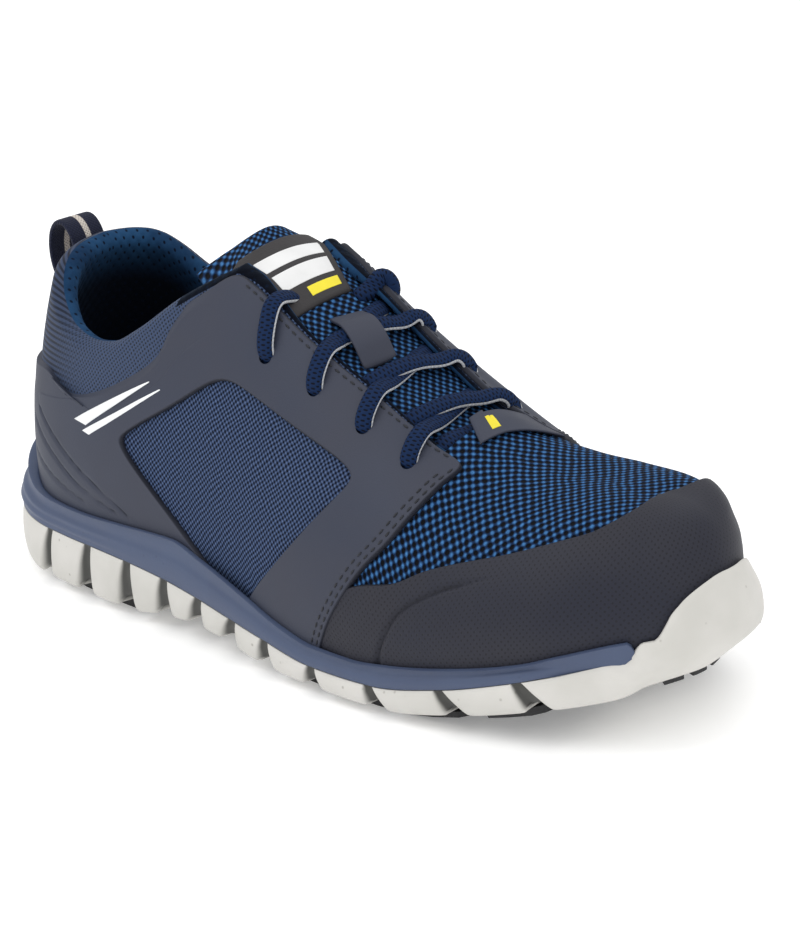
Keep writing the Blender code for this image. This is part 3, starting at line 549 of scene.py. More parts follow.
def collarFinish():
    # fine ribs round the heel that turn into the dotted net towards the front
    finish, tree, shader = newFinish("collarNet", tones["collar"], 0.75, sheen=0.04, specular=0.25)
    net = weave(tree, 1.8, 0.62)
    perMm = 3.4  # turn of the rib wave
    up = splitRun(tree, clothRun(tree))[1]
    rib = calc(tree, "MULTIPLY_ADD", calc(tree, "SINE", times(tree, up, perMm)), 0.5, 0.5)
    ribbed = rimWidth(tree)
    dots = mixColour(tree, net["Hole"], *tones["collarDots"])
    # rib crests painted lighter and troughs darker: painted light and shade on the rib relief
    lines = mixColour(tree, ramp(tree, rib, 0.15, 0.7), *tones["collarRibShading"])
    paint(tree, shader, ribbed, dots, lines)
    dotHeight = times(tree, net["Height"], calc(tree, "SUBTRACT", 1.0, ribbed))
    bump(tree, shader, calc(tree, "ADD", dotHeight, times(tree, rib, ribbed)), 0.7, 0.0003)
    return finish


def liningFinish():
    finish, tree, shader = newFinish("liningVelour", tones["lining"], 0.9, sheen=0.05, specular=0.1)
    shader["Sheen Tint"].default_value = tones["liningSheen"]
    net = weave(tree, 5.2, 0.8)
    grain = grained(tree, 700.0, 60.0)
    base = mixColour(tree, ramp(tree, grain["Cloud"], 0.35, 0.7), *tones["liningCloud"])
    down = splitRun(tree, clothRun(tree))[1]
    base = mixColour(tree, ramp(tree, down, 4.0, 22.0), base, tones["liningDeepShade"])  # painted shade, darker deeper inside towards the foot
    paint(tree, shader, net["Hole"], base, tones["liningHole"])
    bump(tree, shader, calc(tree, "ADD", net["Height"], grain["Height"]), 0.5, 0.0005)
    return finish


def filmFinish(name, colour, cloudy, dotPitch=0.0):
    # matte pressed film, with painted shade along its edge and in its pressed lines
    finish, tree, shader = newFinish(name, colour, 0.55, specular=0.28)
    grain = grained(tree, 1500.0, 28.0)
    base = mixColour(tree, ramp(tree, grain["Cloud"], 0.3, 0.72), colour, cloudy)
    height = times(tree, grain["Height"], 0.5)
    if dotPitch:
        dots = times(tree, weave(tree, dotPitch, 0.72)["Hole"], 0.6)
        base = mixColour(tree, dots, base, tones["filmDot"])
        height = calc(tree, "SUBTRACT", height, dots)
    # painted shade near the film's edge and along its pressed lines, read from the rim attribute
    cut = ramp(tree, rimWidth(tree), 0.35, 0.95, 1.0, 0.0)
    paint(tree, shader, times(tree, cut, 0.75), base, tones["filmEdgeShade"])
    tree.links.new(ramp(tree, grain["Cloud"], 0.25, 0.75, 0.5, 0.66), shader["Roughness"])
    bump(tree, shader, height, 0.35, 0.00025)
    return finish


def foamFinish(name, colour, cloudy, dirt, speckAmount, roughness, groove=None):
    finish, tree, shader = newFinish(name, colour, roughness, specular=0.4)
    grain = grained(tree, 1100.0, 45.0)
    base = mixColour(tree, ramp(tree, grain["Cloud"], 0.3, 0.75), colour, cloudy)
    base = mixColour(tree, times(tree, grain["Speck"], speckAmount), base, dirt)
    if groove:
        # painted shade: darker down in the grooves between the pods
        base = mixColour(tree, ramp(tree, rimWidth(tree), 0.4, 0.98, 1.0, 0.0), base, groove)
    tree.links.new(base, shader["Base Color"])
    tree.links.new(ramp(tree, grain["Cloud"], 0.2, 0.8, roughness - 0.08, roughness + 0.1), shader["Roughness"])
    bump(tree, shader, grain["Height"], 0.25, 0.00025)
    return finish


def laceFinish():
    # braided navy lace, a pale cord along both edges
    finish, tree, shader = newFinish("laceBraid", tones["lace"], 0.75, specular=0.12)
    net = weave(tree, 1.5, 0.62, 1.2)
    base = mixColour(tree, net["Hole"], *tones["laceBraid"])
    edge = calc(tree, "ABSOLUTE", calc(tree, "SINE", splitRun(tree, clothRun(tree))[1]))
    paint(tree, shader, ramp(tree, edge, 0.20, 0.32, 1.0, 0.0), base, tones["laceEdge"])
    bump(tree, shader, net["Height"], 0.6, 0.0003)
    return finish


def webFinish():
    # woven tape, a pale stripe down its middle
    finish, tree, shader = newFinish("webTape", tones["web"], 0.8, sheen=0.04, specular=0.25)
    net = weave(tree, 1.2, 0.7)
    across = calc(tree, "ABSOLUTE", splitRun(tree, clothRun(tree))[1])
    base = mixColour(tree, ramp(tree, across, 0.9, 1.3, 1.0, 0.0), tones["web"], tones["webStripe"])
    paint(tree, shader, times(tree, net["Hole"], 0.6), base, tones["webGap"])
    bump(tree, shader, net["Height"], 0.6, 0.0003)
    return finish


def plainFinish(name, colour, roughness, grainHeight, shade=0.7):
    finish, tree, shader = newFinish(name, colour, roughness)
    grain = grained(tree, 900.0, 80.0)
    dark = tuple(c * shade for c in colour)
    paint(tree, shader, ramp(tree, grain["Cloud"], 0.3, 0.7), dark, colour)
    bump(tree, shader, grain["Height"], grainHeight, 0.0003)
    return finish


vampNet = netFinish("vampNet", *tones["vamp"], 3.3, 0.53, 0.0006)
windowNet = netFinish("windowNet", *tones["window"], 1.9, 0.58, 0.0003)
collarNet = collarFinish()
liningVelour = liningFinish()
quarterFilm = filmFinish("quarterFilm", (0.0315, 0.038, 0.062), (0.040, 0.044, 0.064))
capFilm = filmFinish("capFilm", (0.0135, 0.0150, 0.027), (0.0220, 0.0222, 0.0315), 2.1)
bandFoam = foamFinish("bandFoam", (0.050, 0.070, 0.132), (0.060, 0.084, 0.152), (0.03, 0.04, 0.07), 0.25, 0.5)
# the last colour of podFoam is the painted shade in the grooves
podFoam = foamFinish("podFoam", (0.55, 0.54, 0.505), (0.62, 0.605, 0.575), (0.20, 0.18, 0.15), 0.5, 0.62,
                     (0.085, 0.085, 0.08))
treadRubber = plainFinish("treadRubber", (0.018, 0.018, 0.020), 0.65, 0.5)
laceBraid = laceFinish()
webTape = webFinish()
labelCloth = plainFinish("labelCloth", (0.022, 0.019, 0.021), 0.7, 0.5)
paleWeave = plainFinish("paleWeave", (0.75, 0.75, 0.75), 0.7, 0.3, 0.93)
yellowWeave = plainFinish("yellowWeave", (0.85, 0.72, 0.02), 0.6, 0.3, 0.9)
brightFilm = plainFinish("brightFilm", (0.85, 0.87, 0.88), 0.35, 0.1, 0.95)
seamThread = plainFinish("seamThread", (0.012, 0.014, 0.022), 0.7, 0.3)
innerDark = plainFinish("innerDark", (0.006, 0.008, 0.014), 0.9, 0.3)
print("finishes ready")

# upper cloth and its lining

upperEdges = {
    "collar": ((0, 105.8), (.8, 105), (1.2, 104), (1.6, 102), (2, 98.3), (2.5, 92.2), (3, 86.3), (3.45, 84.2),
               (3.75, 85.2), (4.15, 91.3), (4.75, 103.8), (5.5, 116.2)),
    "throat": ((5.5, 57.5), (5.85, 59.5), (6.4, 60), (7, 62), (7.6, 64.8), (8.3, 66.5), (8.56, 67.3), (8.59, 75),
               (8.625, 83), (8.66, 90)),
    "throatStart": 5.5, "throatEnd": 8.66, "throatColumns": (5.5, 8.56, 8.575, 8.59, 8.61, 8.625, 8.64, 8.66),
    # on the medial side only: the stay's reach over the tongue in degrees, the drop of the rim in mm
    "reach": 7.0, "reachSpan": (5.6, 6.5, 8.0, 8.7), "rimDrop": 2.2, "rimDropSpan": (1.2, 2.6, 4.5, 5.5),
    "pad": 6.5, "padFade": (5.3, 6.7), "padReach": 0.6, "crest": 1.3,
    "columns": 170, "rows": 44, "crestRows": 6, "rollRows": 13, "liningRows": 30,
    "vampFrom": (6.9, 0.025, 8.45), "ribsEnd": (2.5, 3.6), "velourFrom": 4.75,
    "collarNetFrom": ((0, 14), (3, 15), (4.2, 24), (4.5, 28), (4.8, 33), (5.2, 45), (5.5, 58), (8.9, 90))}
collarZ = curveThrough(upperEdges["collar"])
throatAngle = curveThrough(upperEdges["throat"])


def stayReach(t):
    # the medial stay is drawn in over the tongue
    return upperEdges["reach"] * between(fold(t), *upperEdges["reachSpan"]) * isMedial(t)


def isClosed(t):
    return fold(t) > upperEdges["throatEnd"] - 1e-6


def edgeAngle(t):
    # top edge of the upper: collar, throat, then the closed vamp
    s, start = fold(t), upperEdges["throatStart"]
    drop = upperEdges["rimDrop"] * between(s, *upperEdges["rimDropSpan"]) * isMedial(t)
    low = angleAt(t, collarZ(np.minimum(s, start)) - drop)
    openEdge = np.where(s >= start, throatAngle(s), low) + stayReach(t)
    return np.where(isClosed(t), 90.0, openEdge)


def collarPad(t, below):
    fade = 1 - blend(fold(t), *upperEdges["padFade"])
    return upperEdges["pad"] * fade * np.clip(1 - below / upperEdges["padReach"], 0, 1) ** 0.7


def rimRoll(t, top, theta, thick):
    outer, inner = skin(t, top), skin(t, top, -thick)
    middle = (outer + inner) / 2
    up = unit(skin(t, np.minimum(top + 0.5, 89.9)) - skin(t, top - 0.5))
    radius = np.linalg.norm(outer - inner, axis=-1, keepdims=True) / 2
    return middle + (outer - middle) * np.cos(theta)[..., None] + up * radius * np.sin(theta)[..., None]


def buildUpper():
    plan, wall = upperEdges, lastShape["wall"]
    side = np.unique(np.concatenate([np.linspace(0, toeTip, plan["columns"]), plan["throatColumns"]]))
    t = bothSides(side)[:, None]
    s, top, closed = fold(t), edgeAngle(t), isClosed(t)
    thick = wall + collarPad(t, 0.0)
    # cloth from the sole up and over to the crest of the collar
    up = np.linspace(0, 1, plan["rows"])[None, :]
    theta = np.linspace(0, plan["crest"], plan["crestRows"])[None, 1:]
    rollSpots = np.where(closed[..., None], skin(t, 90.0), rimRoll(t, top, theta, thick))
    spots = np.concatenate([skin(t, top * up), rollSpots], 1)
    phi = np.concatenate([top * up, np.repeat(top, theta.shape[1], 1)], 1)
    start, slant, most = plan["vampFrom"]
    front = s > np.minimum(start + phi * slant, most)
    cloth = np.where(front[..., None], topCloth(spots), sideCloth(t, phi))
    cloth[:, plan["rows"]:, 1] += theta * thick * 0.5
    onRim = np.arange(phi.shape[1])[None, :] >= plan["rows"] - 1
    high = phi > np.interp(s, *np.array(plan["collarNetFrom"]).T)
    kinds = np.where(front, 0, np.where(high, 2, 1))
    kinds = np.where(onRim & (s > plan["velourFrom"]) & ~closed, 3, kinds)
    ribbed = np.broadcast_to(1 - blend(s, *plan["ribsEnd"]), phi.shape)
    outer = gridPiece("upperCloth", spots, cloth, (vampNet, windowNet, collarNet, liningVelour), rim=ribbed,
                      kinds=kinds, drop=closed & onRim)
    # lining from the crest of the collar down to the insole
    theta = np.linspace(plan["crest"], math.pi, plan["rollRows"])[None, :]
    down = np.linspace(1, 0, plan["liningRows"])[None, 1:]
    rollSpots = np.where(closed[..., None], skin(t, 90.0, -wall), rimRoll(t, top, theta, thick))
    spots = np.concatenate([rollSpots, skin(t, top * down, -(wall + collarPad(t, 1 - down)))], 1)
    phi = np.concatenate([np.repeat(top, theta.shape[1], 1), top * down], 1)
    onRoll = np.arange(phi.shape[1])[None, :] <= theta.shape[1]
    cloth = np.stack([sideCloth(t, phi)[..., 0], runAcross(spots)], -1)
    inner = gridPiece("collarLining", spots, cloth, (liningVelour,), drop=closed & onRoll)
    return outer, inner


upperCloth, collarLining = buildUpper()
dress(upperCloth, "vamp_mesh", "upper")
dress(collarLining, "lining", "upper")
print("upper cloth and lining done")

# film overlays

edgeStops = np.array([0, .1, .25, .45, .7, 1.0, 1.5, 2.3])  # mm in from a film's edge, dense where it rounds over
edgeSunk = 0.25  # mm the very edge lies below the cloth
pressLift = 1.7  # level at which pressed lines are measured
quarterPlan = {
    # outer edge station and angle, window edge station and angle
    "rows": (
        (7.43, 0, 6.12, 0), (7.65, 8.5, 6.45, 8.5), (7.88, 16.5, 6.86, 17), (8.14, 25.5, 7.22, 26),
        (8.40, 34.5, 7.50, 34.5), (8.61, 46, 7.65, 39.5), (8.76, 57, 7.69, 42), (8.84, 67, 7.66, 43.2),
        (8.45, 66.4, 7.54, 43.7), (8.05, 65.5, 7.36, 43.4), (7.60, 64.2, 7.10, 42.7), (7.10, 62, 6.80, 41.7),
        (6.60, 60, 6.46, 40.7), (6.15, 59.2, 6.18, 39.9), (5.80, 58.8, 5.98, 39.4), (5.52, 57.3, 5.80, 38.8),
        (5.20, 49.9, 5.62, 37.3), (4.92, 44.2, 5.40, 33.7), (4.74, 38.8, 5.14, 29.3), (4.58, 32.6, 4.86, 25.5),
        (4.18, 26.7, 4.60, 22.3), (3.66, 21.8, 4.37, 19.7), (3.15, 19.8, 4.23, 18), (2.55, 21.8, 4.16, 16.8),
        (1.90, 21.2, 4.18, 15.9), (1.15, 21, 4.28, 14.8), (0.32, 21, 4.42, 13.5), (0.30, 18.5, 4.76, 11.2),
        (0.29, 11.5, 5.16, 8.5), (0.28, 5, 5.52, 5.6), (0.28, 0, 5.90, 0)),
    "lift": 1.75, "edge": 0.9, "along": 330, "across": 100, "thick": 0.0005, "windowRound": 0.8, "stayAbove": 45,
    # rows along the collar, where the film thins out instead of ending in a step
    "thinRows": (15.5, 17.5, 26, 27), "thinWide": 4.0, "thinSunk": 0.1,
    # pressed lines on the heel counter
    "lines": (((2.46, 15.2), (3.01, 11.8), (3.5, 8.8), (4.22, 5.4)),
              ((2.21, 13.2), (2.88, 9.6), (3.42, 6.6), (4.01, 5)), ((1.99, 9), (2.8, 6.2), (3.47, 4.4))),
    "lineDeep": 0.8, "lineWide": 0.6, "lineFrom": (1, 6), "lineShade": 0.35,
    "eyelets": ((8.28, 56), (7.62, 54.5), (6.90, 52), (6.20, 48.5)),
    "medialEyelets": ((8.25, 66), (7.66, 66.5), (7.02, 64), (6.44, 61.5)), "eyeletSize": 2.3}


def edgeLift(d, high, wide):
    away = 1 - np.clip(d / wide, 0, 1)
    return -edgeSunk + (high + edgeSunk) * np.sqrt(np.clip(1 - away ** 2, 0, 1))


def quarterRow(s, medial):
    # both edges of the strip, the window side rounded off
    plan = quarterPlan["rows"]
    rows = throughRows(plan, np.asarray(s, float))
    pull = np.linspace(-2, 2, 17)
    weight = np.exp(-0.5 * pull ** 2)
    last = len(plan) - 1
    reach = np.minimum(quarterPlan["windowRound"], np.minimum(s, last - s) / 2)
    near = np.stack([throughRows(plan, np.clip(s + reach * p, 0, last)) for p in pull], 0)
    rows[..., 2:] = ((near * weight[:, None, None]).sum(0) / weight.sum())[..., 2:]
    if medial:
        rows[..., 1] += stayReach(fullRound - rows[..., 0]) * (rows[..., 1] > quarterPlan["stayAbove"])
    return rows


def quarterAt(s, d, medial):
    # spot counted along the strip, d mm in from its outer edge: station, angle and the strip's width there
    row = quarterRow(np.asarray(s, float), medial)
    outer, window = row[..., :2], row[..., 2:]
    part = np.linspace(0, 1, 15)
    line = outer[..., None, :] * (1 - part)[:, None] + window[..., None, :] * part[:, None]
    steps = np.diff(skin(line[..., 0], np.clip(line[..., 1], 0, 90)), axis=-2)
    wide = np.linalg.norm(steps, axis=-1).sum(-1)
    v = np.asarray(d, float) / wide
    spot = outer * (1 - v)[..., None] + window * v[..., None]
    return onSide(spot[..., 0], medial), np.clip(spot[..., 1], 0, 90), wide


def nearLine(spots, line, medial, count=60, fade=0.0):
    # mm from every spot to a pressed line, which can fade out over its last quarter
    path, _ = spotsAlong(line, count)
    best = np.full(spots.shape[:2], 99.0)
    for k, p in enumerate(skin(onSide(path[:, 0], medial), np.clip(path[:, 1], 0, 90), pressLift)):
        best = np.minimum(best, np.linalg.norm(spots - p, axis=-1) + fade * max(0, 4 * k / count - 3))
    return best


def buildQuarter(name, medial):
    plan = quarterPlan
    s = np.linspace(0, len(plan["rows"]) - 1, plan["along"])
    wide = quarterAt(s, np.zeros_like(s), medial)[2][:, None]
    inset = edgeStops[-1]
    inner = np.linspace(0, 1, plan["across"])[1:-1][None, :]
    d = np.concatenate([np.broadcast_to(edgeStops, (len(s), len(edgeStops))), inset + (wide - 2 * inset) * inner,
                        wide - edgeStops[::-1]], 1)
    row = quarterRow(s, medial)[:, None, :]
    v = (d / wide)[..., None]
    spot = row[..., :2] * (1 - v) + row[..., 2:] * v
    t, phi = onSide(spot[..., 0], medial), np.clip(spot[..., 1], 0, 90)
    rim = np.minimum(d, wide - d)
    thin = between(s, *plan["thinRows"])[:, None] * (d < wide / 2)
    thinLift = plan["lift"] * (blend(rim, 0, plan["thinWide"]) - plan["thinSunk"])
    lift = edgeLift(rim, plan["lift"], plan["edge"]) * (1 - thin) + thinLift * thin
    flat = skin(t, phi, pressLift)
    near = np.min([nearLine(flat, line, medial) for line in plan["lines"]], 0)
    lift = lift - plan["lineDeep"] * np.exp(-(near / plan["lineWide"]) ** 2) * blend(rim, *plan["lineFrom"])
    # the rim also carries the pressed lines, for the painted shade along them
    rim = np.minimum(rim + 0.5 * thin, near + plan["lineShade"])
    piece = gridPiece(name, skin(t, phi, lift), sideCloth(t, phi), (quarterFilm,), rim=rim, thick=plan["thick"],
                      flip=medial)
    punchEyelets(piece, medial)
    return piece


def eyeletRow(k, medial):
    return quarterPlan["medialEyelets" if medial else "eyelets"][k]


def punchEyelets(piece, medial):
    cutters = []
    size = quarterPlan["eyeletSize"] * 0.001
    for k in range(len(quarterPlan["eyelets"])):
        t, phi = eyeletRow(k, medial)
        low, high = (Vector(rowSpot(skin(np.array(onSide(t, medial)), phi, lift))) for lift in (-5, 6))
        bm = bmesh.new()
        turn = (high - low).to_track_quat("Z", "Y").to_matrix().to_4x4()
        bmesh.ops.create_cone(bm, cap_ends=True, segments=20, radius1=size, radius2=size, depth=(high - low).length,
                              matrix=Matrix.Translation((low + high) / 2) @ turn)
        cutter = finishPiece("eyeletPunch", bm, (innerDark,))
        cutters.append(cutter)
        cut = piece.modifiers.new("eyelet", "BOOLEAN")
        cut.operation = "DIFFERENCE"
        cut.solver = "EXACT"
        cut.object = cutter
    graph = bpy.context.evaluated_depsgraph_get()
    punched = bpy.data.meshes.new_from_object(piece.evaluated_get(graph))
    piece.modifiers.clear()
    piece.data = punched
    for cutter in cutters:
        bpy.data.objects.remove(cutter, do_unlink=True)


quarterLateral = buildQuarter("quarterLateral", False)
quarterMedial = buildQuarter("quarterMedial", True)
dress(quarterLateral, "overlay", "quarter_lateral")
dress(quarterMedial, "overlay", "quarter_medial")
print("quarters done")

capPlan = {
    "edge": ((7.6, 15), (8.08, 21), (8.6, 25.5), (9, 31.5), (9.5, 37), (10.2, 43), (10.7, 48), (11.2, 54), (11.6, 64),
             (12, 75), (12.4, 83.5), (13, 87.5)),
    "top": 7.86, "foot": 7.25, "lift": 1.75, "edgeWide": 0.9, "along": 300, "rows": 50, "thick": 0.0005,
    # under the quarter's edge the cap lies lower: start and slant of that edge, lift there
    "quarterEdge": (7.43, 0.028), "tuck": (-0.05, 0.5), "tuckedLift": 1.15,
    "ridge": ((8.30, -2), (8.40, 3), (8.45, 7), (8.53, 11), (8.72, 18), (9.08, 24), (9.55, 29), (10.3, 33.5),
              (10.9, 36.5), (11.4, 38.5)),
    "ridgeDeep": 1.2, "ridgeWide": 0.7, "ridgeFade": 3.0, "ridgeShade": 0.3}


def buildCap():
    plan = capPlan
    u = np.linspace(-1, 1, plan["along"])[:, None]
    top, foot = (toeTip + (toeTip - plan[end]) * u for end in ("top", "foot"))
    high = curveThrough(plan["edge"])(fold(top))
    tall = sideCloth(top, high)[..., 1]
    inset = edgeStops[-1]
    d = np.concatenate([np.broadcast_to(edgeStops, (len(u), len(edgeStops))),
                        inset + (tall - inset) * np.linspace(0, 1, plan["rows"])[None, 1:]], 1)
    v = np.clip(1 - d / tall, 0, 1)
    t = foot + (top - foot) * v
    phi = high * v
    start, slant = plan["quarterEdge"]
    tucked = blend(fold(t) - (start + phi * slant), *plan["tuck"])
    lift = edgeLift(d, plan["tuckedLift"] + (plan["lift"] - plan["tuckedLift"]) * tucked, plan["edgeWide"])
    flat = skin(t, phi, pressLift)
    near = np.min([nearLine(flat, plan["ridge"], medial, 120, plan["ridgeFade"]) for medial in (False, True)], 0)
    lift = lift - plan["ridgeDeep"] * np.exp(-(near / plan["ridgeWide"]) ** 2) * blend(d, 1, 4)
    # the rim also carries the ridge line, for the painted shade along it
    return gridPiece("toeCap", skin(t, phi, lift), sideCloth(t, phi), (capFilm,),
                     rim=np.minimum(d, near + plan["ridgeShade"]), thick=plan["thick"], flip=True)


toeCap = buildCap()
dress(toeCap, "overlay", "toe_cap")
print("toe cap done")

# pale twin stripes behind the window, lateral side only
stripePlan = {
    # top edge and low edge from the tip, station and angle
    "upper": (((4.59, 28.4), (4.30, 25.2), (4.01, 22.2), (3.71, 19.4), (3.38, 16.6)),
              ((4.59, 28.2), (4.35, 25.0), (4.11, 22.0), (3.86, 19.2), (3.59, 16.4))),
    "lower": (((4.77, 28.4), (4.47, 24.8), (4.17, 21.4), (3.87, 18.4), (3.53, 15.4)),
              ((4.78, 28.3), (4.52, 24.8), (4.23, 21.2), (3.94, 18.0), (3.65, 15.2))), "lift": 1.9, "thick": 0.0003}


def buildStripe(name, edges):
    top, low = (throughRows(edge, np.linspace(0, 4, 40)) for edge in edges)
    b = np.linspace(0, 1, 7)[None, :, None]
    t, phi = np.moveaxis(top[:, None, :] * (1 - b) + low[:, None, :] * b, -1, 0)
    return gridPiece(name, skin(t, phi, stripePlan["lift"]), sideCloth(t, phi), (brightFilm,),
                     thick=stripePlan["thick"])


for name in ("upper", "lower"):
    stripe = buildStripe(name + "Stripe", stripePlan[name])
    dress(stripe, "overlay", "quarter_lateral")
print("stripes done")

# tongue, label, keeper and tag

tonguePlan = {
    # station, tuck under the stays, crown, thickness
    "rows": ((9.45, 13, 0, 2.6), (9, 15, .3, 3), (8.5, 16, .3, 3), (7.9, 16, .2, 3.4), (7.3, 15, .2, 3.8),
             (6.7, 14, .4, 4.2), (6.1, 13, 1, 4.8), (5.5, 12, 2.2, 5.6)),
    "under": 3.3, "stayPart": 0.62, "sinkPart": 0.25, "swell": 1.9, "swellEnd": (8.35, 8.8), "throatEnd": 8.56,
    "top": {"x": 109.5, "y": 1.5, "z": 123.0, "half": 19.3, "back": 14.5, "down": 13.5, "lean": (0.72, 0.5, 0.62)},
    "topStation": 5.0, "topRound": 2.6, "along": 110, "alongTop": 18, "across": 44, "halfRun": 33.0}


def tongueValue(column, t):
    rows = np.array(tonguePlan["rows"])[::-1]
    return np.interp(t, rows[:, 0], rows[:, column])


def tongueInThroat(t, q, lift):
    plan, stay = tonguePlan, tonguePlan["stayPart"]
    beyond = np.clip((np.abs(q) - stay) / (1 - stay), 0, 1)
    phi = throatAngle(np.minimum(t, plan["throatEnd"])) - beyond * tongueValue(1, t)
    sides = [skin(s, phi, plan["sinkPart"] * staySink(s, phi) - plan["under"]) for s in (t, fullRound - t)]
    normals = [skinUp(s, phi) for s in (t, fullRound - t)]
    u = np.clip(q / stay, -1, 1)
    part = ((1 + u) / 2)[..., None]
    spot = sides[0] * (1 - part) + sides[1] * part
    normal = unit(normals[0] * (1 - part) + normals[1] * part)
    swell = plan["swell"] * np.clip(1 - (np.abs(q) / (stay + 0.03)) ** 6, 0, 1) * (1 - blend(t, *plan["swellEnd"]))
    return spot + normal * (tongueValue(2, t) * (1 - u * u) + swell + lift)[..., None]


def tongueSpot(t, q, lift=0.0):
    # station along the tongue, place across it from -1 to 1
    t, q, lift = together(t, q, lift)
    top, start = tonguePlan["top"], upperEdges["throatStart"]
    throat = tongueInThroat(np.maximum(t, start), q, lift)
    rim = np.stack([top["x"] - top["back"] * q * q, top["y"] + top["half"] * q, top["z"] - top["down"] * q * q], -1)
    lean = np.stack([np.ones(q.shape), q, np.ones(q.shape)], -1) * top["lean"]
    rim = rim + unit(lean) * lift[..., None]
    rise = np.clip((start - t) / (start - tonguePlan["topStation"]), 0, 1)[..., None]
    return throat * (1 - rise) + rim * rise


def buildTongue():
    plan, start = tonguePlan, upperEdges["throatStart"]
    t = np.concatenate([np.linspace(plan["rows"][0][0], start, plan["along"]),
                        np.linspace(start, plan["topStation"], plan["alongTop"])[1:]])[:, None]
    turn = np.linspace(0, 2 * math.pi, 2 * plan["across"] + 1)[None, :]
    q = -np.cos(turn) * (0.86 + 0.14 * np.abs(np.cos(turn)))
    face = np.clip(np.sin(turn) * 3.2, -1, 1)  # 1 on top, -1 below
    thick = tongueValue(3, t) * (1 - 0.5 * np.abs(q) ** 4)
    spots = tongueSpot(t, q, -thick / 2 + face * thick / 2)
    # rounded top edge
    mid = tongueSpot(t[-1:], q, -thick[-1:] / 2)
    up = unit(mid - tongueSpot(t[-1:] + 0.06, q, -thick[-1:] / 2)) * plan["topRound"]
    angles = np.linspace(0, math.pi / 2, 7)[1:]
    caps = [mid + (spots[-1:] - mid) * math.cos(a) + up * math.sin(a) for a in angles]
    spots = np.concatenate([tongueSpot(t[:1], q, -thick[:1] / 2), spots] + caps, 0)
    run = runAlong(tongueSpot(t[:, 0], 0.0))
    run = np.concatenate([[0], run, run[-1] + np.arange(1, len(angles) + 1) * 0.7])
    cloth = np.stack([np.repeat(run[:, None], q.shape[1], 1), np.repeat(q * plan["halfRun"], len(run), 0)], -1)
    kinds = np.repeat(np.where(face > -0.2, 0, 1), len(run), 0)
    return gridPiece("tonguePad", spots, cloth, (vampNet, liningVelour), kinds=kinds, flip=True)


tonguePad = buildTongue()
dress(tonguePad, "vamp_mesh", "tongue")

labelPlan = {
    # corners as station and place across: top left, top right, low right, low left
    "corners": ((5.24, -0.72), (5.20, 0.50), (6.24, 0.20), (6.33, -0.72)), "lift": 1.1, "edge": 0.9, "thick": 0.0004,
    # plain woven bars in parts of the label: left, right, top, foot
    "bars": ((paleWeave, (0.27, 0.90, 0.24, 0.45)), (paleWeave, (0.27, 0.90, 0.52, 0.73)),
             (yellowWeave, (0.52, 0.90, 0.79, 0.90))), "barHigh": 0.12, "barThick": 0.0001}
tagPlan = {"corners": ((8.50, -0.19), (8.46, 0.60), (8.98, 0.62), (8.83, -0.32)), "lift": 1.6, "edge": 0.5,
           "thick": 0.0009, "bar": (0.21, 0.33, 0.26, 0.76), "barEdge": 0.1, "angles": (67, 90), "half": 0.62}
patchRim = 0.03  # part of a patch that its rim takes
wholePatch = (0, 1, 0, 1)


def tonguePatch(name, finish, corners, part, lift, edge, thick, spotAt=tongueSpot):
    # a patch between parts of four corners, its rim turned down
    c = np.array(corners, float)
    ends = np.array([0, 0.012, patchRim])
    stops = np.concatenate([ends, np.linspace(0.05, 0.95, 30), 1 - ends[::-1]])
    u, v = stops[None, :], stops[:, None]
    across, down = ((part[k] + (part[k + 1] - part[k]) * w)[..., None] for k, w in ((0, u), (2, v)))
    top = c[0] * (1 - across) + c[1] * across
    foot = c[3] * (1 - across) + c[2] * across
    t, q = np.moveaxis(top * (1 - down) + foot * down, -1, 0)
    near = np.minimum(np.minimum(u, 1 - u), np.minimum(v, 1 - v))
    high = lift - edge * (1 - np.clip(near / patchRim, 0, 1)) ** 2
    return gridPiece(name, spotAt(t, q, high), np.stack([t * 28, q * 33], -1), (finish,), thick=thick)


label = tonguePatch("tongueLabel", labelCloth, labelPlan["corners"], wholePatch, labelPlan["lift"], labelPlan["edge"],
                    labelPlan["thick"])
dress(label, "label", "tongue_label")
barHigh, barThick = labelPlan["barHigh"], labelPlan["barThick"]
for k, (finish, part) in enumerate(labelPlan["bars"]):
    bar = tonguePatch(f"labelBar{k}", finish, labelPlan["corners"], part, labelPlan["lift"] + barHigh, barHigh,
                      barThick)
    dress(bar, "label", "tongue_label")


def tagSpot(t, q, lift):
    # the tag bridges the end of the throat on the vamp's own curve
    low, high = tagPlan["angles"]
    phi = low + (high - low) * (1 - np.abs(q) / tagPlan["half"])
    return skin(np.where(q < 0, t, fullRound - t), np.clip(phi, 60, 90), lift)


tag = tonguePatch("throatTag", quarterFilm, tagPlan["corners"], wholePatch, tagPlan["lift"], tagPlan["edge"],
                  tagPlan["thick"], tagSpot)
dress(tag, "overlay", "throat_tag")
tagBar = tonguePatch("tagBar", yellowWeave, tagPlan["corners"], tagPlan["bar"], tagPlan["lift"] + barHigh,
                     tagPlan["barEdge"], barThick, tagSpot)
dress(tagBar, "label", "throat_tag")
print("tongue, label and tag done")


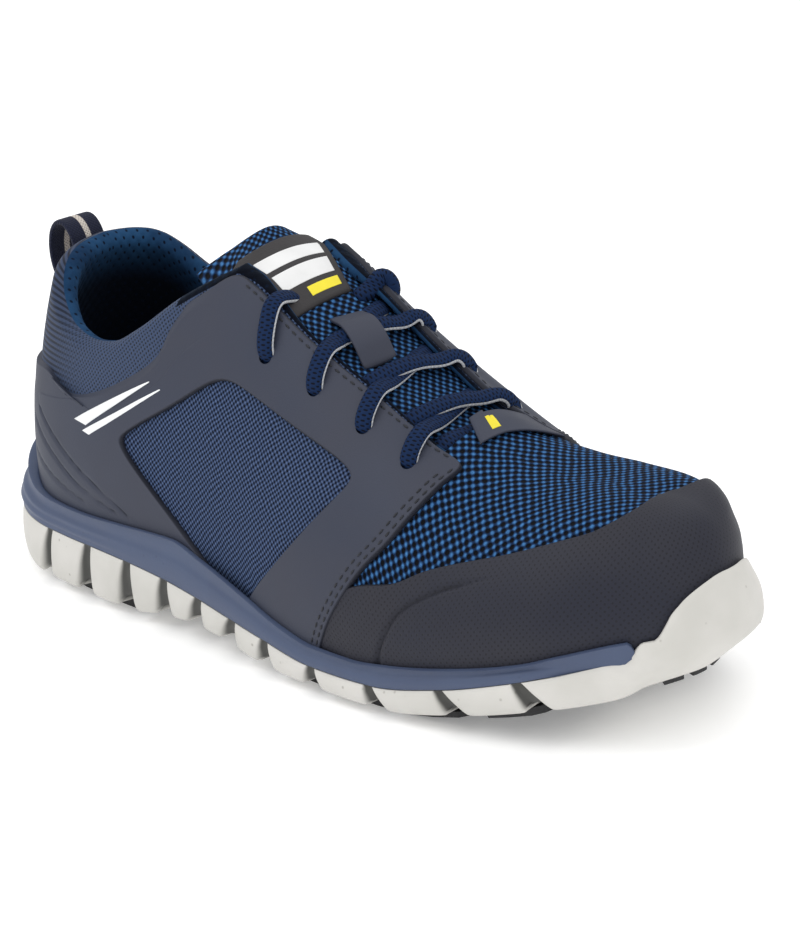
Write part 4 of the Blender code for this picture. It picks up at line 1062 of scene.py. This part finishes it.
def strandPiece(name, line, halfWide, halfThick, finish, sideMap, around=20, step=1.1, flat=2.0, soft=0):
    # flat cord swept along a smooth line of spots and ups, its run in mm and its turn as the cloth map
    both = np.array([np.concatenate(pair) for pair in line], float)
    length = np.linalg.norm(np.diff(both[:, :3], axis=0), axis=1).sum()
    line, run = spotsAlong(both, max(12, int(length / step)))
    for _ in range(soft):
        line[1:-1] = line[1:-1] * 0.5 + (line[:-2] + line[2:]) * 0.25
    path = line[:, :3]
    along = unit(np.gradient(path, axis=0))
    wide = unit(np.cross(line[:, 3:], along))
    high = np.cross(along, wide)
    turn = np.linspace(0, 2 * math.pi, around + 1)
    c, s = (np.sign(w) * np.abs(w) ** (2 / flat) for w in (np.cos(turn), np.sin(turn)))
    size = np.ones(len(path))
    size[[0, -1]] = 0.0
    ring = wide[:, None, :] * (halfWide * c)[None, :, None] + high[:, None, :] * (halfThick * s)[None, :, None]
    spots = path[:, None, :] + ring * size[:, None, None]
    side = {"paleEdges": turn, "plain": 1.55 + 1.05 * c, "mm": c * halfWide}[sideMap]
    cloth = np.stack([np.repeat(run[:, None], around + 1, 1), np.repeat(side[None, :], len(path), 0)], -1)
    return gridPiece(name, spots, cloth, (finish,), flip=True)


lacePlan = {
    "halfWide": 2.9, "halfThick": 1.5, "flat": 2.4, "overStay": 3.1, "onTongue": 1.35, "soft": 14,
    "farUp": (0.15, -0.35, 0.75), "farPart": 0.35, "medialFat": 1.7,
    # part of the way to the next eyelet, place across (own side positive), lift
    "lateralPath": ((0.05, 0.6, 0), (0.13, 0.46, 0.9), (0.25, 0.2, 0.1), (0.36, 0.0, 0.0), (0.47, -0.22, -0.2),
                    (0.54, -0.38, -1.2), (0.62, -0.55, -2.8)),
    "medialPath": ((0.16, 0.6, 0), (0.27, 0.32, 1.8), (0.34, 0.16, 2.1), (0.385, -0.04, 2.4), (0.40, -0.24, 1.6),
                   (0.42, -0.46, 0.5), (0.44, -0.58, 0.0), (0.46, -0.68, -1.6)),
    "barStation": 8.42, "bar": ((-0.66, -1.4), (-0.5, 0), (-0.25, 0), (0, 0), (0.25, 0), (0.5, 0), (0.66, -1.4)),
    # where the two ends go down beside the tongue, and how much higher they lie
    "lateralEnd": (0.5, 0.4, 0.36), "medialEnd": (0.38, 0.28, 0.26), "medialHigh": 0.1}


def onSkin(t, phi, medial, lift):
    station = np.array(onSide(t, medial))
    return skin(station, phi, lift), skinUp(station, phi)


def onTongue(t, q, lift):
    t, q = np.array(t), np.array(q)
    return tongueSpot(t, q, lift), tongueSpot(t, q, 1.0) - tongueSpot(t, q, 0.0)


def crossingLine(k, medial):
    # out of its hole, over the stay, across the tongue and under the other stay
    t0, phi0 = eyeletRow(k, medial)
    step = eyeletRow(k + 1, medial)[0] - t0
    over, low = lacePlan["overStay"], lacePlan["onTongue"]
    path = lacePlan["medialPath" if medial else "lateralPath"]
    edge = float(throatAngle(t0 + step * path[0][0]) + medial * stayReach(fullRound - t0))
    # part of the step, angle, lift
    stay = ((0, phi0 - 1.5, -2.5), (0, phi0 - 0.6, 1.0), (0.01, phi0 + 1.6, over + 0.1),
            (0.03, (phi0 + edge) / 2 + 0.8, over + 0.2), (path[0][0], edge, over))
    line = [onSkin(t0 + step * part, phi, medial, lift) for part, phi, lift in stay]
    if medial:
        line = [(spot, up * lacePlan["farPart"] + np.array(lacePlan["farUp"])) for spot, up in line]
    sign = 1.0 if medial else -1.0
    return line + [onTongue(t0 + step * part, q * sign, low + lift) for part, q, lift in path[1:]]


def endLine(medial):
    # out of the top hole, over the stay and down beside the tongue
    sign, high = (1.0, lacePlan["medialHigh"]) if medial else (-1.0, 0.0)
    top, phi = eyeletRow(3, medial)
    edge = float(throatAngle(top - 0.12) + medial * stayReach(fullRound - top))
    over, low = lacePlan["overStay"] + high, lacePlan["onTongue"]
    stay = ((0, phi - 1.0, -2.5), (0, phi - 0.3, 1.0), (0.01, phi + 2, over + 0.3),
            (0.05, (phi + edge) / 2, over + 0.4), (0.10, edge, over + 0.2))
    ends = lacePlan["medialEnd" if medial else "lateralEnd"]
    away = zip((0.12, 0.13, 0.14), ends, (low + 1.0 + high, low - 0.4, -2.4))
    return ([onSkin(top - back, angle, medial, lift) for back, angle, lift in stay]
            + [onTongue(top - back, q * sign, lift) for back, q, lift in away])


def strand(name, line, node, fat=1.0):
    piece = strandPiece(name, line, lacePlan["halfWide"], lacePlan["halfThick"] * fat, laceBraid,
                        "plain" if fat > 1 else "paleEdges", flat=lacePlan["flat"], soft=lacePlan["soft"])
    dress(piece, "lace", node)


for k, name in enumerate(("low", "mid", "top")):
    strand(f"lace{name.capitalize()}Lateral", crossingLine(k, False), "lace_cross_" + name)
    strand(f"lace{name.capitalize()}Medial", crossingLine(k, True), "lace_cross_" + name)
barLine = [onTongue(lacePlan["barStation"], q, lacePlan["onTongue"] + lift) for q, lift in lacePlan["bar"]]
strand("laceBar", barLine, "lace_bar")
strand("laceEndLateral", endLine(False), "lace_end_lateral")
strand("laceEndMedial", endLine(True), "lace_end_medial", lacePlan["medialFat"])

keeperPlan = {"line": ((6.50, .6), (6.60, 2.6), (6.72, 5.0), (6.86, 5.8), (7.0, 5.0), (7.13, 2.6), (7.24, .6)),
              "across": -0.10, "slant": 0.2, "halfWide": 5.7, "halfThick": 0.6, "flat": 6.0}
keeperStart = keeperPlan["line"][0][0]
keeperLine = [onTongue(t, keeperPlan["across"] - keeperPlan["slant"] * (t - keeperStart), lift)
              for t, lift in keeperPlan["line"]]
keeper = strandPiece("laceKeeper", keeperLine, keeperPlan["halfWide"], keeperPlan["halfThick"], quarterFilm, "mm",
                     flat=keeperPlan["flat"])
dress(keeper, "overlay", "lace_keeper")
print("laces and keeper done")

# heel tape and pull loop

tapePlan = {"half": 6.5, "lift": 1.75, "edge": 0.7, "low": 25.6, "high": 99.0, "rows": 90, "thick": 0.0005,
            "across": (0, 1.5, 3, 4.5, 5.6, 6.1, 6.4, 6.5), "stationMm": 19.0, "loopThick": 0.85, "loopFlat": 7.0,
            "loop": ((15.3, 97), (14.9, 101.8), (13.4, 106.8), (10.2, 110.2), (6.2, 110.6), (2.8, 107.4), (1.2, 102),
                     (1.6, 96), (4, 91), (8.6, 87.6))}


def buildTape():
    half = np.array(tapePlan["across"])
    z, y = np.meshgrid(np.linspace(tapePlan["low"], tapePlan["high"], tapePlan["rows"]),
                       np.concatenate([-half[:0:-1], half]), indexing="ij")
    lift = edgeLift(tapePlan["half"] - np.abs(y), tapePlan["lift"], tapePlan["edge"])
    spots = skin(-y / tapePlan["stationMm"], angleAt(np.zeros_like(y), z), lift)
    return gridPiece("heelTape", spots, np.stack([z, y], -1), (webTape,), thick=tapePlan["thick"])


heelTape = buildTape()
dress(heelTape, "webbing", "heel_tape")
loopPoints = np.array([(x, 0.0, z) for x, z in tapePlan["loop"]])
loopUps = np.cross(np.gradient(loopPoints, axis=0), (0, 1, 0))
pullLoop = strandPiece("pullLoop", zip(loopPoints, loopUps), tapePlan["half"], tapePlan["loopThick"], webTape, "mm",
                       around=28, step=0.8, flat=tapePlan["loopFlat"])
dress(pullLoop, "webbing", "pull_loop")
print("tape and loop done")

# sole: navy band, pale pods, dark tread


def heelFlare(t):
    return soleShape["heelFlare"] * (1 - blend(fold(t), *soleShape["heelFade"]))


def bumperStation(t):
    # the bumper stands highest a little past the tip, on the medial side
    return fold(t) + soleShape["medialBumper"] * isMedial(t)


def toeRoll(t):
    # where the low edge of the bumper rolls under
    return between(t, *soleShape["rollSpan"])


def podTop(t):
    # top of the pale wall: the band runs out to a point before the bumper
    x = section(t)[:, 0]
    return podTopZ(x) + blend(fold(t), *soleShape["bandTaper"]) * (bandTopZ(x) - podTopZ(x) - 0.6)


def softRows(rings, counts):
    # rings rounded into each other, each step cut into counts rows
    rows = np.stack(rings, 0)
    s = np.concatenate([k + np.linspace(0, 1, n, endpoint=False) for k, n in enumerate(counts)] + [[len(counts)]])
    fine = throughRows(rows.reshape(len(rows), -1), s)
    return np.moveaxis(fine.reshape(len(s), *rows.shape[1:]), 0, 1)


def ringCloth(t, spots):
    along = np.interp(t, tableT, alongRun)[:, None]
    return np.stack([np.repeat(along, spots.shape[1], 1), spots[..., 2]], -1)


bandPlan = {
    # offsets from the last, at the side and at the front end
    "outer": (3.6, 3.3), "mid": (4.1, 2.3), "foot": (4.2, 3.2), "inner": 2.2, "under": 2.5, "least": 2,
    "columns": 300, "steps": 8, "ribRows": (3, 5, 7), "ribDeep": 0.45, "ribsEnd": (3.0, 4.6),
    "onCap": (10.4, 11.1), "capLift": 3.4}


def buildBand():
    plan = bandPlan
    t = bothSides(np.linspace(0, toeTip, plan["columns"]))
    s, flare, deck = fold(t), heelFlare(t), deckZ(section(t)[:, 0])
    front = blend(s, *soleShape["bandTaper"])
    hidden = blend(s, *soleShape["bandEnd"])  # past its end the band sinks behind the bumper
    least = deck + plan["least"]
    lip = np.maximum(bandTopZ(section(t)[:, 0]) * (1 - hidden) + least * hidden, least)
    low = (podTop(t) + 0.1) * (1 - hidden) + deck * hidden
    high = angleAt(t, lip)
    outer, mid, foot = (
        plan[name][0] * (1 - front) + plan[name][1] * front + flare * part
        for name, part in (("outer", 0.4), ("mid", 0.9), ("foot", 1)))
    top = skin(t, high, outer)
    inner = plan["inner"]
    rings = [skin(t, high * 0.3, 1.2), skin(t, high * 0.9, inner - 0.6), skin(t, high, inner), top]
    onCap = blend(s, *plan["onCap"])[:, None]  # over the cap it follows the cap
    heel = 1 - blend(s, *plan["ribsEnd"])
    for k in range(1, plan["steps"] + 1):
        part = k / plan["steps"]
        offset = mid * 4 * part * (1 - part) + foot * part * (2 * part - 1)
        rib = plan["ribDeep"] * heel * (k in plan["ribRows"])
        height = lip + (low - lip) * part
        wall = np.column_stack([outline(t, offset - rib), height])
        wall = wall * (1 - onCap) + skin(t, angleAt(t, height), plan["capLift"]) * onCap
        rings.append(top + (wall - top) * (2 * part) if k < 3 else wall)
    rings.append(np.column_stack([outline(t, foot - plan["under"]), low]))
    spots = softRows(rings, [2, 3, 4] + [3] * plan["steps"] + [2])
    return gridPiece("soleBand", spots, ringCloth(t, spots), (bandFoam,), flip=True)


soleBand = buildBand()
dress(soleBand, "band", "midsole")

podPlan = {
    "half": ((0, 0.15), (3, 0.16), (6, 0.165), (10, 0.17)), "topPart": 0.42, "deep": 4.6, "up": 4.2, "roll": 5.4,
    "podColumns": 7, "swell": 0.4, "inner": 2.2, "outer": 4.4, "tall": 12, "underOffset": -4.0, "underCut": 7.4,
    # across a groove: place from its middle, depth
    "stops": ((-1.5, 0), (-1.12, 0.02), (-0.98, 0.16), (-0.84, 0.5), (-0.68, 0.82), (-0.45, 1), (0, 1), (0.45, 1),
              (0.68, 0.82), (0.84, 0.5), (0.98, 0.16), (1.12, 0.02), (1.5, 0)),
    "bumperColumns": (10.9, 11.2, 11.4, 11.5, 11.55, 11.6, 11.65, 11.7, 11.75, 11.8, 11.84, 11.88, 11.95, 12.01, 12.06,
                      12.1, 12.13, 12.155, 12.18, 12.2, 12.22, 12.245, 12.28, 12.33, 12.38, 12.45, 12.55, 12.65, 12.75,
                      12.85, 12.93, 13.0),
    # over the top edge: part of the way out, part of the bumper's angle, lift of the bumper
    "crown": ((0, 0.55, 1.6), (0.4, 0.96, 2.0), (0.9, 1, 2.7), (1, 0.98, 3.5)),
    # down the wall: part, offset of the wall, offset of the bumper, share of the groove, cut at the rolled corner
    "rings": ((0.12, 4.85, 4.7, 0.5, 0), (0.35, 5.05, 5.7, 0.6, 0), (0.6, 4.95, 5.8, 0.85, 2.6),
              (0.82, 4.6, 3.6, 0.97, 4.6), (0.95, 3.9, 0.6, 1.0, 6.4), (1.0, 2.4, -2.0, 1.0, 7.4)),
    "bumperBelly": 0.62, "rowCounts": (1, 2, 3, 4, 3, 3, 3, 3, 3, 2, 1)}


def stationAt(x):
    s = np.linspace(0, toeTip, 2601)
    return float(np.interp(x, section(s)[:, 0], s))


def podColumns():
    # station at the top and foot of the wall, groove depth, swell of the pod
    plan = podPlan
    reach, narrow = plan["stops"][-1][0], plan["topPart"]
    marks = sorted((stationAt(top), stationAt(low)) for top, low in soleShape["grooves"])
    rows = [(0.0, 0.0, 0.0, 0.5)]
    before, past = (0.0, 0.0), 0.0
    for top, low in marks:
        half = float(np.interp(top, *np.array(plan["half"]).T))
        a, b = before[0] + reach * past * narrow, before[1] + reach * past
        c, d = top - reach * half * narrow, low - reach * half
        for k in range(1, plan["podColumns"] + 1):
            part = k / (plan["podColumns"] + 1)
            rows.append((a + (c - a) * part, b + (d - b) * part, 0.0, 1 - (2 * part - 1) ** 4))
        rows += [(top + side * half * narrow, low + side * half, depth, 0.0) for side, depth in plan["stops"]]
        before, past = (top, low), half
    for mark in plan["bumperColumns"]:
        part = (mark - before[0]) / (toeTip - before[0])
        rows.append((mark, before[1] + part * (toeTip - before[1]), 0.0, 0.0))
    return np.array(rows)


def grooveRise(depth, tall):
    # how far a groove lifts the underside, less where the wall is low
    return podPlan["up"] * depth * np.clip(tall / podPlan["tall"], 0.3, 1)


def buildPods():
    plan = podPlan
    columns = podColumns().T
    top, low = (bothSides(c) for c in columns[:2])
    depth, swell = (np.concatenate([c, c[-2::-1]]) for c in columns[2:])
    front = blend(bumperStation(top), *soleShape["bumperSpan"])
    mix, corner, peak = front[:, None], toeRoll(top), bumperZ(bumperStation(top))
    high = podTop(top) - 0.1
    crown = angleAt(top, high + front * (np.maximum(peak, high) - high))
    plainIn = np.column_stack([outline(top, plan["inner"]), high])
    plainOut = np.column_stack([outline(top, plan["outer"] - 0.5 * depth + heelFlare(top)), high])
    rings = []
    for out, part, lift in plan["crown"]:
        rings.append((plainIn + (plainOut - plainIn) * out) * (1 - mix) + skin(top, crown * part, lift) * mix)
    for v, plain, bumper, sink, cut in plan["rings"]:
        station = top + (low - top) * v
        ceiling, floor = podTop(station), bottomZ(section(station)[:, 0])
        height = ceiling + (floor - ceiling) * v
        rise = grooveRise(depth, ceiling - floor) * blend(v, 0.8, 1.0)
        under = plan["roll"] * corner * blend(v, 0.5, 1.0)
        belly = plan["swell"] * swell * math.sin(math.pi * v)
        offset = plain - plan["deep"] * sink * depth + heelFlare(station) + belly
        wall = np.column_stack([outline(station, offset - cut * corner), height + rise + under])
        noseHeight = height + (peak - ceiling) * plan["bumperBelly"] * max(0, 1 - 2 * v)
        if v < 0.5:
            nose = skin(top, angleAt(top, noseHeight), bumper)
        else:
            nose = np.column_stack([outline(station, bumper - cut * corner), noseHeight + under])
        rings.append(wall * (1 - mix) + nose * mix)
    ridge = section(low)[:, 2:4]
    rise = grooveRise(depth, podTopZ(ridge[:, 0]) - bottomZ(ridge[:, 0]))
    under = outline(low, plan["underOffset"] - plan["underCut"] * corner)
    rings.append(np.column_stack([under, bottomZ(under[:, 0]) + rise + plan["roll"] * corner]))
    rings.append(np.column_stack([ridge, bottomZ(ridge[:, 0]) + rise]))
    spots = softRows(rings, plan["rowCounts"])
    # rim holds the groove depth, for the painted shade in the grooves
    rim = np.repeat(1 - depth[:, None], spots.shape[1], 1)
    return gridPiece("solePods", spots, ringCloth(top, spots), (podFoam,), rim=rim, flip=True)


solePods = buildPods()
dress(solePods, "pods", "outsole")

# small lugs of the tread that show under the bumper
lugPlan = {"runs": ((12.12, 12.40), (12.52, 12.76), (12.86, 13.08)), "outer": 1.0, "inner": -12.0, "deep": 0.45,
           "sunk": 1.2, "cornerCut": 5.5, "rollPart": 0.7, "cuts": 7, "bevel": 0.0003, "sharp": 0.8}


def buildLug(name, start, stop):
    plan = lugPlan
    bm = bmesh.new()
    bmesh.ops.create_cube(bm, size=1.0)
    long = [e for e in bm.edges if abs(e.verts[0].co.x - e.verts[1].co.x) > 0.5]
    bmesh.ops.subdivide_edges(bm, edges=long, cuts=plan["cuts"], use_grid_fill=True)
    for vert in bm.verts:
        t = np.array(start + (stop - start) * (vert.co.x + 0.5))
        roll = toeRoll(t)
        x, y = outline(t, plan["outer" if vert.co.y > 0 else "inner"] - plan["cornerCut"] * roll)
        level = bottomZ(section(t)[0]) + podPlan["roll"] * roll * plan["rollPart"]
        vert.co = rowSpot([x, y, level + (plan["sunk"] if vert.co.z > 0 else -plan["deep"])])
    bmesh.ops.recalc_face_normals(bm, faces=bm.faces)
    sharp = [e for e in bm.edges if e.calc_face_angle() > plan["sharp"]]
    bmesh.ops.bevel(bm, geom=sharp, offset=plan["bevel"], affect="EDGES", segments=2, profile=0.5, material=-1)
    return finishPiece(name, bm, (treadRubber,))


for k, (start, stop) in enumerate(lugPlan["runs"]):
    dress(buildLug(f"toeLug{k + 1}", start, stop), "tread", "outsole")
for name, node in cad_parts.items():
    finish = treadRubber if name.startswith("tread_") else innerDark if name == "insole" else None
    if finish:
        node.data.materials.clear()
        node.data.materials.append(finish)
print("sole done")

# seam stitches: small spindles sunk into the film

stitchPlan = {"long": 2.4, "gap": 3.3, "wide": 0.42, "high": 0.32, "proud": 0.02, "ends": 1.5,
              # from row, to row, mm in from the edge
              "runs": ((0.4, 6.85, 2.0), (0.4, 6.8, 4.4), (7.3, 14.6, 2.4))}


def rowAt(where, far, rows):
    return [np.interp(where, far, rows[:, c]) for c in range(3)]


def buildStitches(name, medial):
    plan = stitchPlan
    bm = bmesh.new()
    size = Matrix.Diagonal((plan["long"] / 2000, plan["wide"] / 1000, plan["high"] / 1000, 1))
    for start, stop, inset in plan["runs"]:
        s = np.linspace(start, stop, 300)
        t, phi, _ = quarterAt(s, np.full(len(s), inset), medial)
        line = skin(t, phi, quarterPlan["lift"] + plan["proud"])
        normal = skinUp(t, phi)
        far = runAlong(line)
        for where in np.arange(plan["ends"], far[-1] - plan["ends"], plan["gap"]):
            spot, ahead = (Vector(rowSpot(rowAt(w, far, line))) for w in (where, where + 0.5))
            along = (ahead - spot).normalized()
            side = Vector(rowAt(where, far, normal)).cross(along).normalized()
            turn = Matrix((along, side, along.cross(side))).transposed().to_4x4()
            bmesh.ops.create_icosphere(bm, subdivisions=1, radius=1.0, matrix=Matrix.Translation(spot) @ turn @ size)
    for face in bm.faces:
        face.smooth = True
    return finishPiece(name, bm, (seamThread,))


for name, node, medial in (("stitchesLateral", "quarter_lateral", False), ("stitchesMedial", "quarter_medial", True)):
    dress(buildStitches(name, medial), "overlay", node)
print("stitches done")

# floor, light and camera

studio = {"floor": (0.95, 0.95, 0.95), "floorHalf": 6.0, "floorGlow": 0.2, "world": 0.8, "worldColour": (1, 1, 1),
          # place, aim, size, power
          "lamps": (((-0.7, -1.2, 1.6), (0, 0, 0.05), 1.2, 11.5), ((1.3, -0.6, 1.5), (0.05, 0, 0.05), 1.2, 7),
                    ((0.0, 0.9, 1.7), (0, 0, 0.05), 1.4, 7))}


def buildFloor():
    bm = bmesh.new()
    bmesh.ops.create_grid(bm, x_segments=4, y_segments=4, size=studio["floorHalf"])
    paper, _, shader = newFinish("floorPaper", studio["floor"], 0.9, specular=0.1)
    # a faint glow of the floor: painted light that lifts the shadows on it
    shader["Emission Color"].default_value = (1, 1, 1, 1)
    shader["Emission Strength"].default_value = studio["floorGlow"]
    return finishPiece("studioFloor", bm, (paper,))


def lookAlong(spot, aim):
    return (Vector(aim) - Vector(spot)).to_track_quat("-Z", "Y")


floor = buildFloor()
world = bpy.data.worlds.new("softRoom")
world.use_nodes = True
background = world.node_tree.nodes["Background"]
background.inputs[0].default_value = (*studio["worldColour"], 1)
background.inputs[1].default_value = studio["world"]
bpy.context.scene.world = world
bpy.context.scene.view_settings.view_transform = "Standard"
for k, (spot, aim, size, power) in enumerate(studio["lamps"]):
    lamp = bpy.data.lights.new(f"softBox{k}", "AREA")
    lamp.size = size
    lamp.energy = power
    stand = bpy.data.objects.new(f"softBox{k}", lamp)
    stand.location = spot
    stand.rotation_euler = lookAlong(spot, aim).to_euler()
    bpy.context.scene.collection.objects.link(stand)

cameraView = {"place": (0.86164, -0.72226, 0.44029), "aim": (-0.00485, 0.01749, 0.04763), "roll": -4.55,
              "lens": 172.57, "sensor": 36.0}
lens = bpy.data.cameras.new("shoeCamera")
lens.sensor_fit = "HORIZONTAL"
lens.sensor_width = cameraView["sensor"]
lens.lens = cameraView["lens"]
camera = bpy.data.objects.new("shoeCamera", lens)
camera.location = cameraView["place"]
roll = Quaternion((0, 0, 1), math.radians(cameraView["roll"]))
camera.rotation_euler = (lookAlong(cameraView["place"], cameraView["aim"]) @ roll).to_euler()
bpy.context.scene.collection.objects.link(camera)
bpy.context.scene.camera = camera
print("studio ready")

bpy.context.view_layer.update()
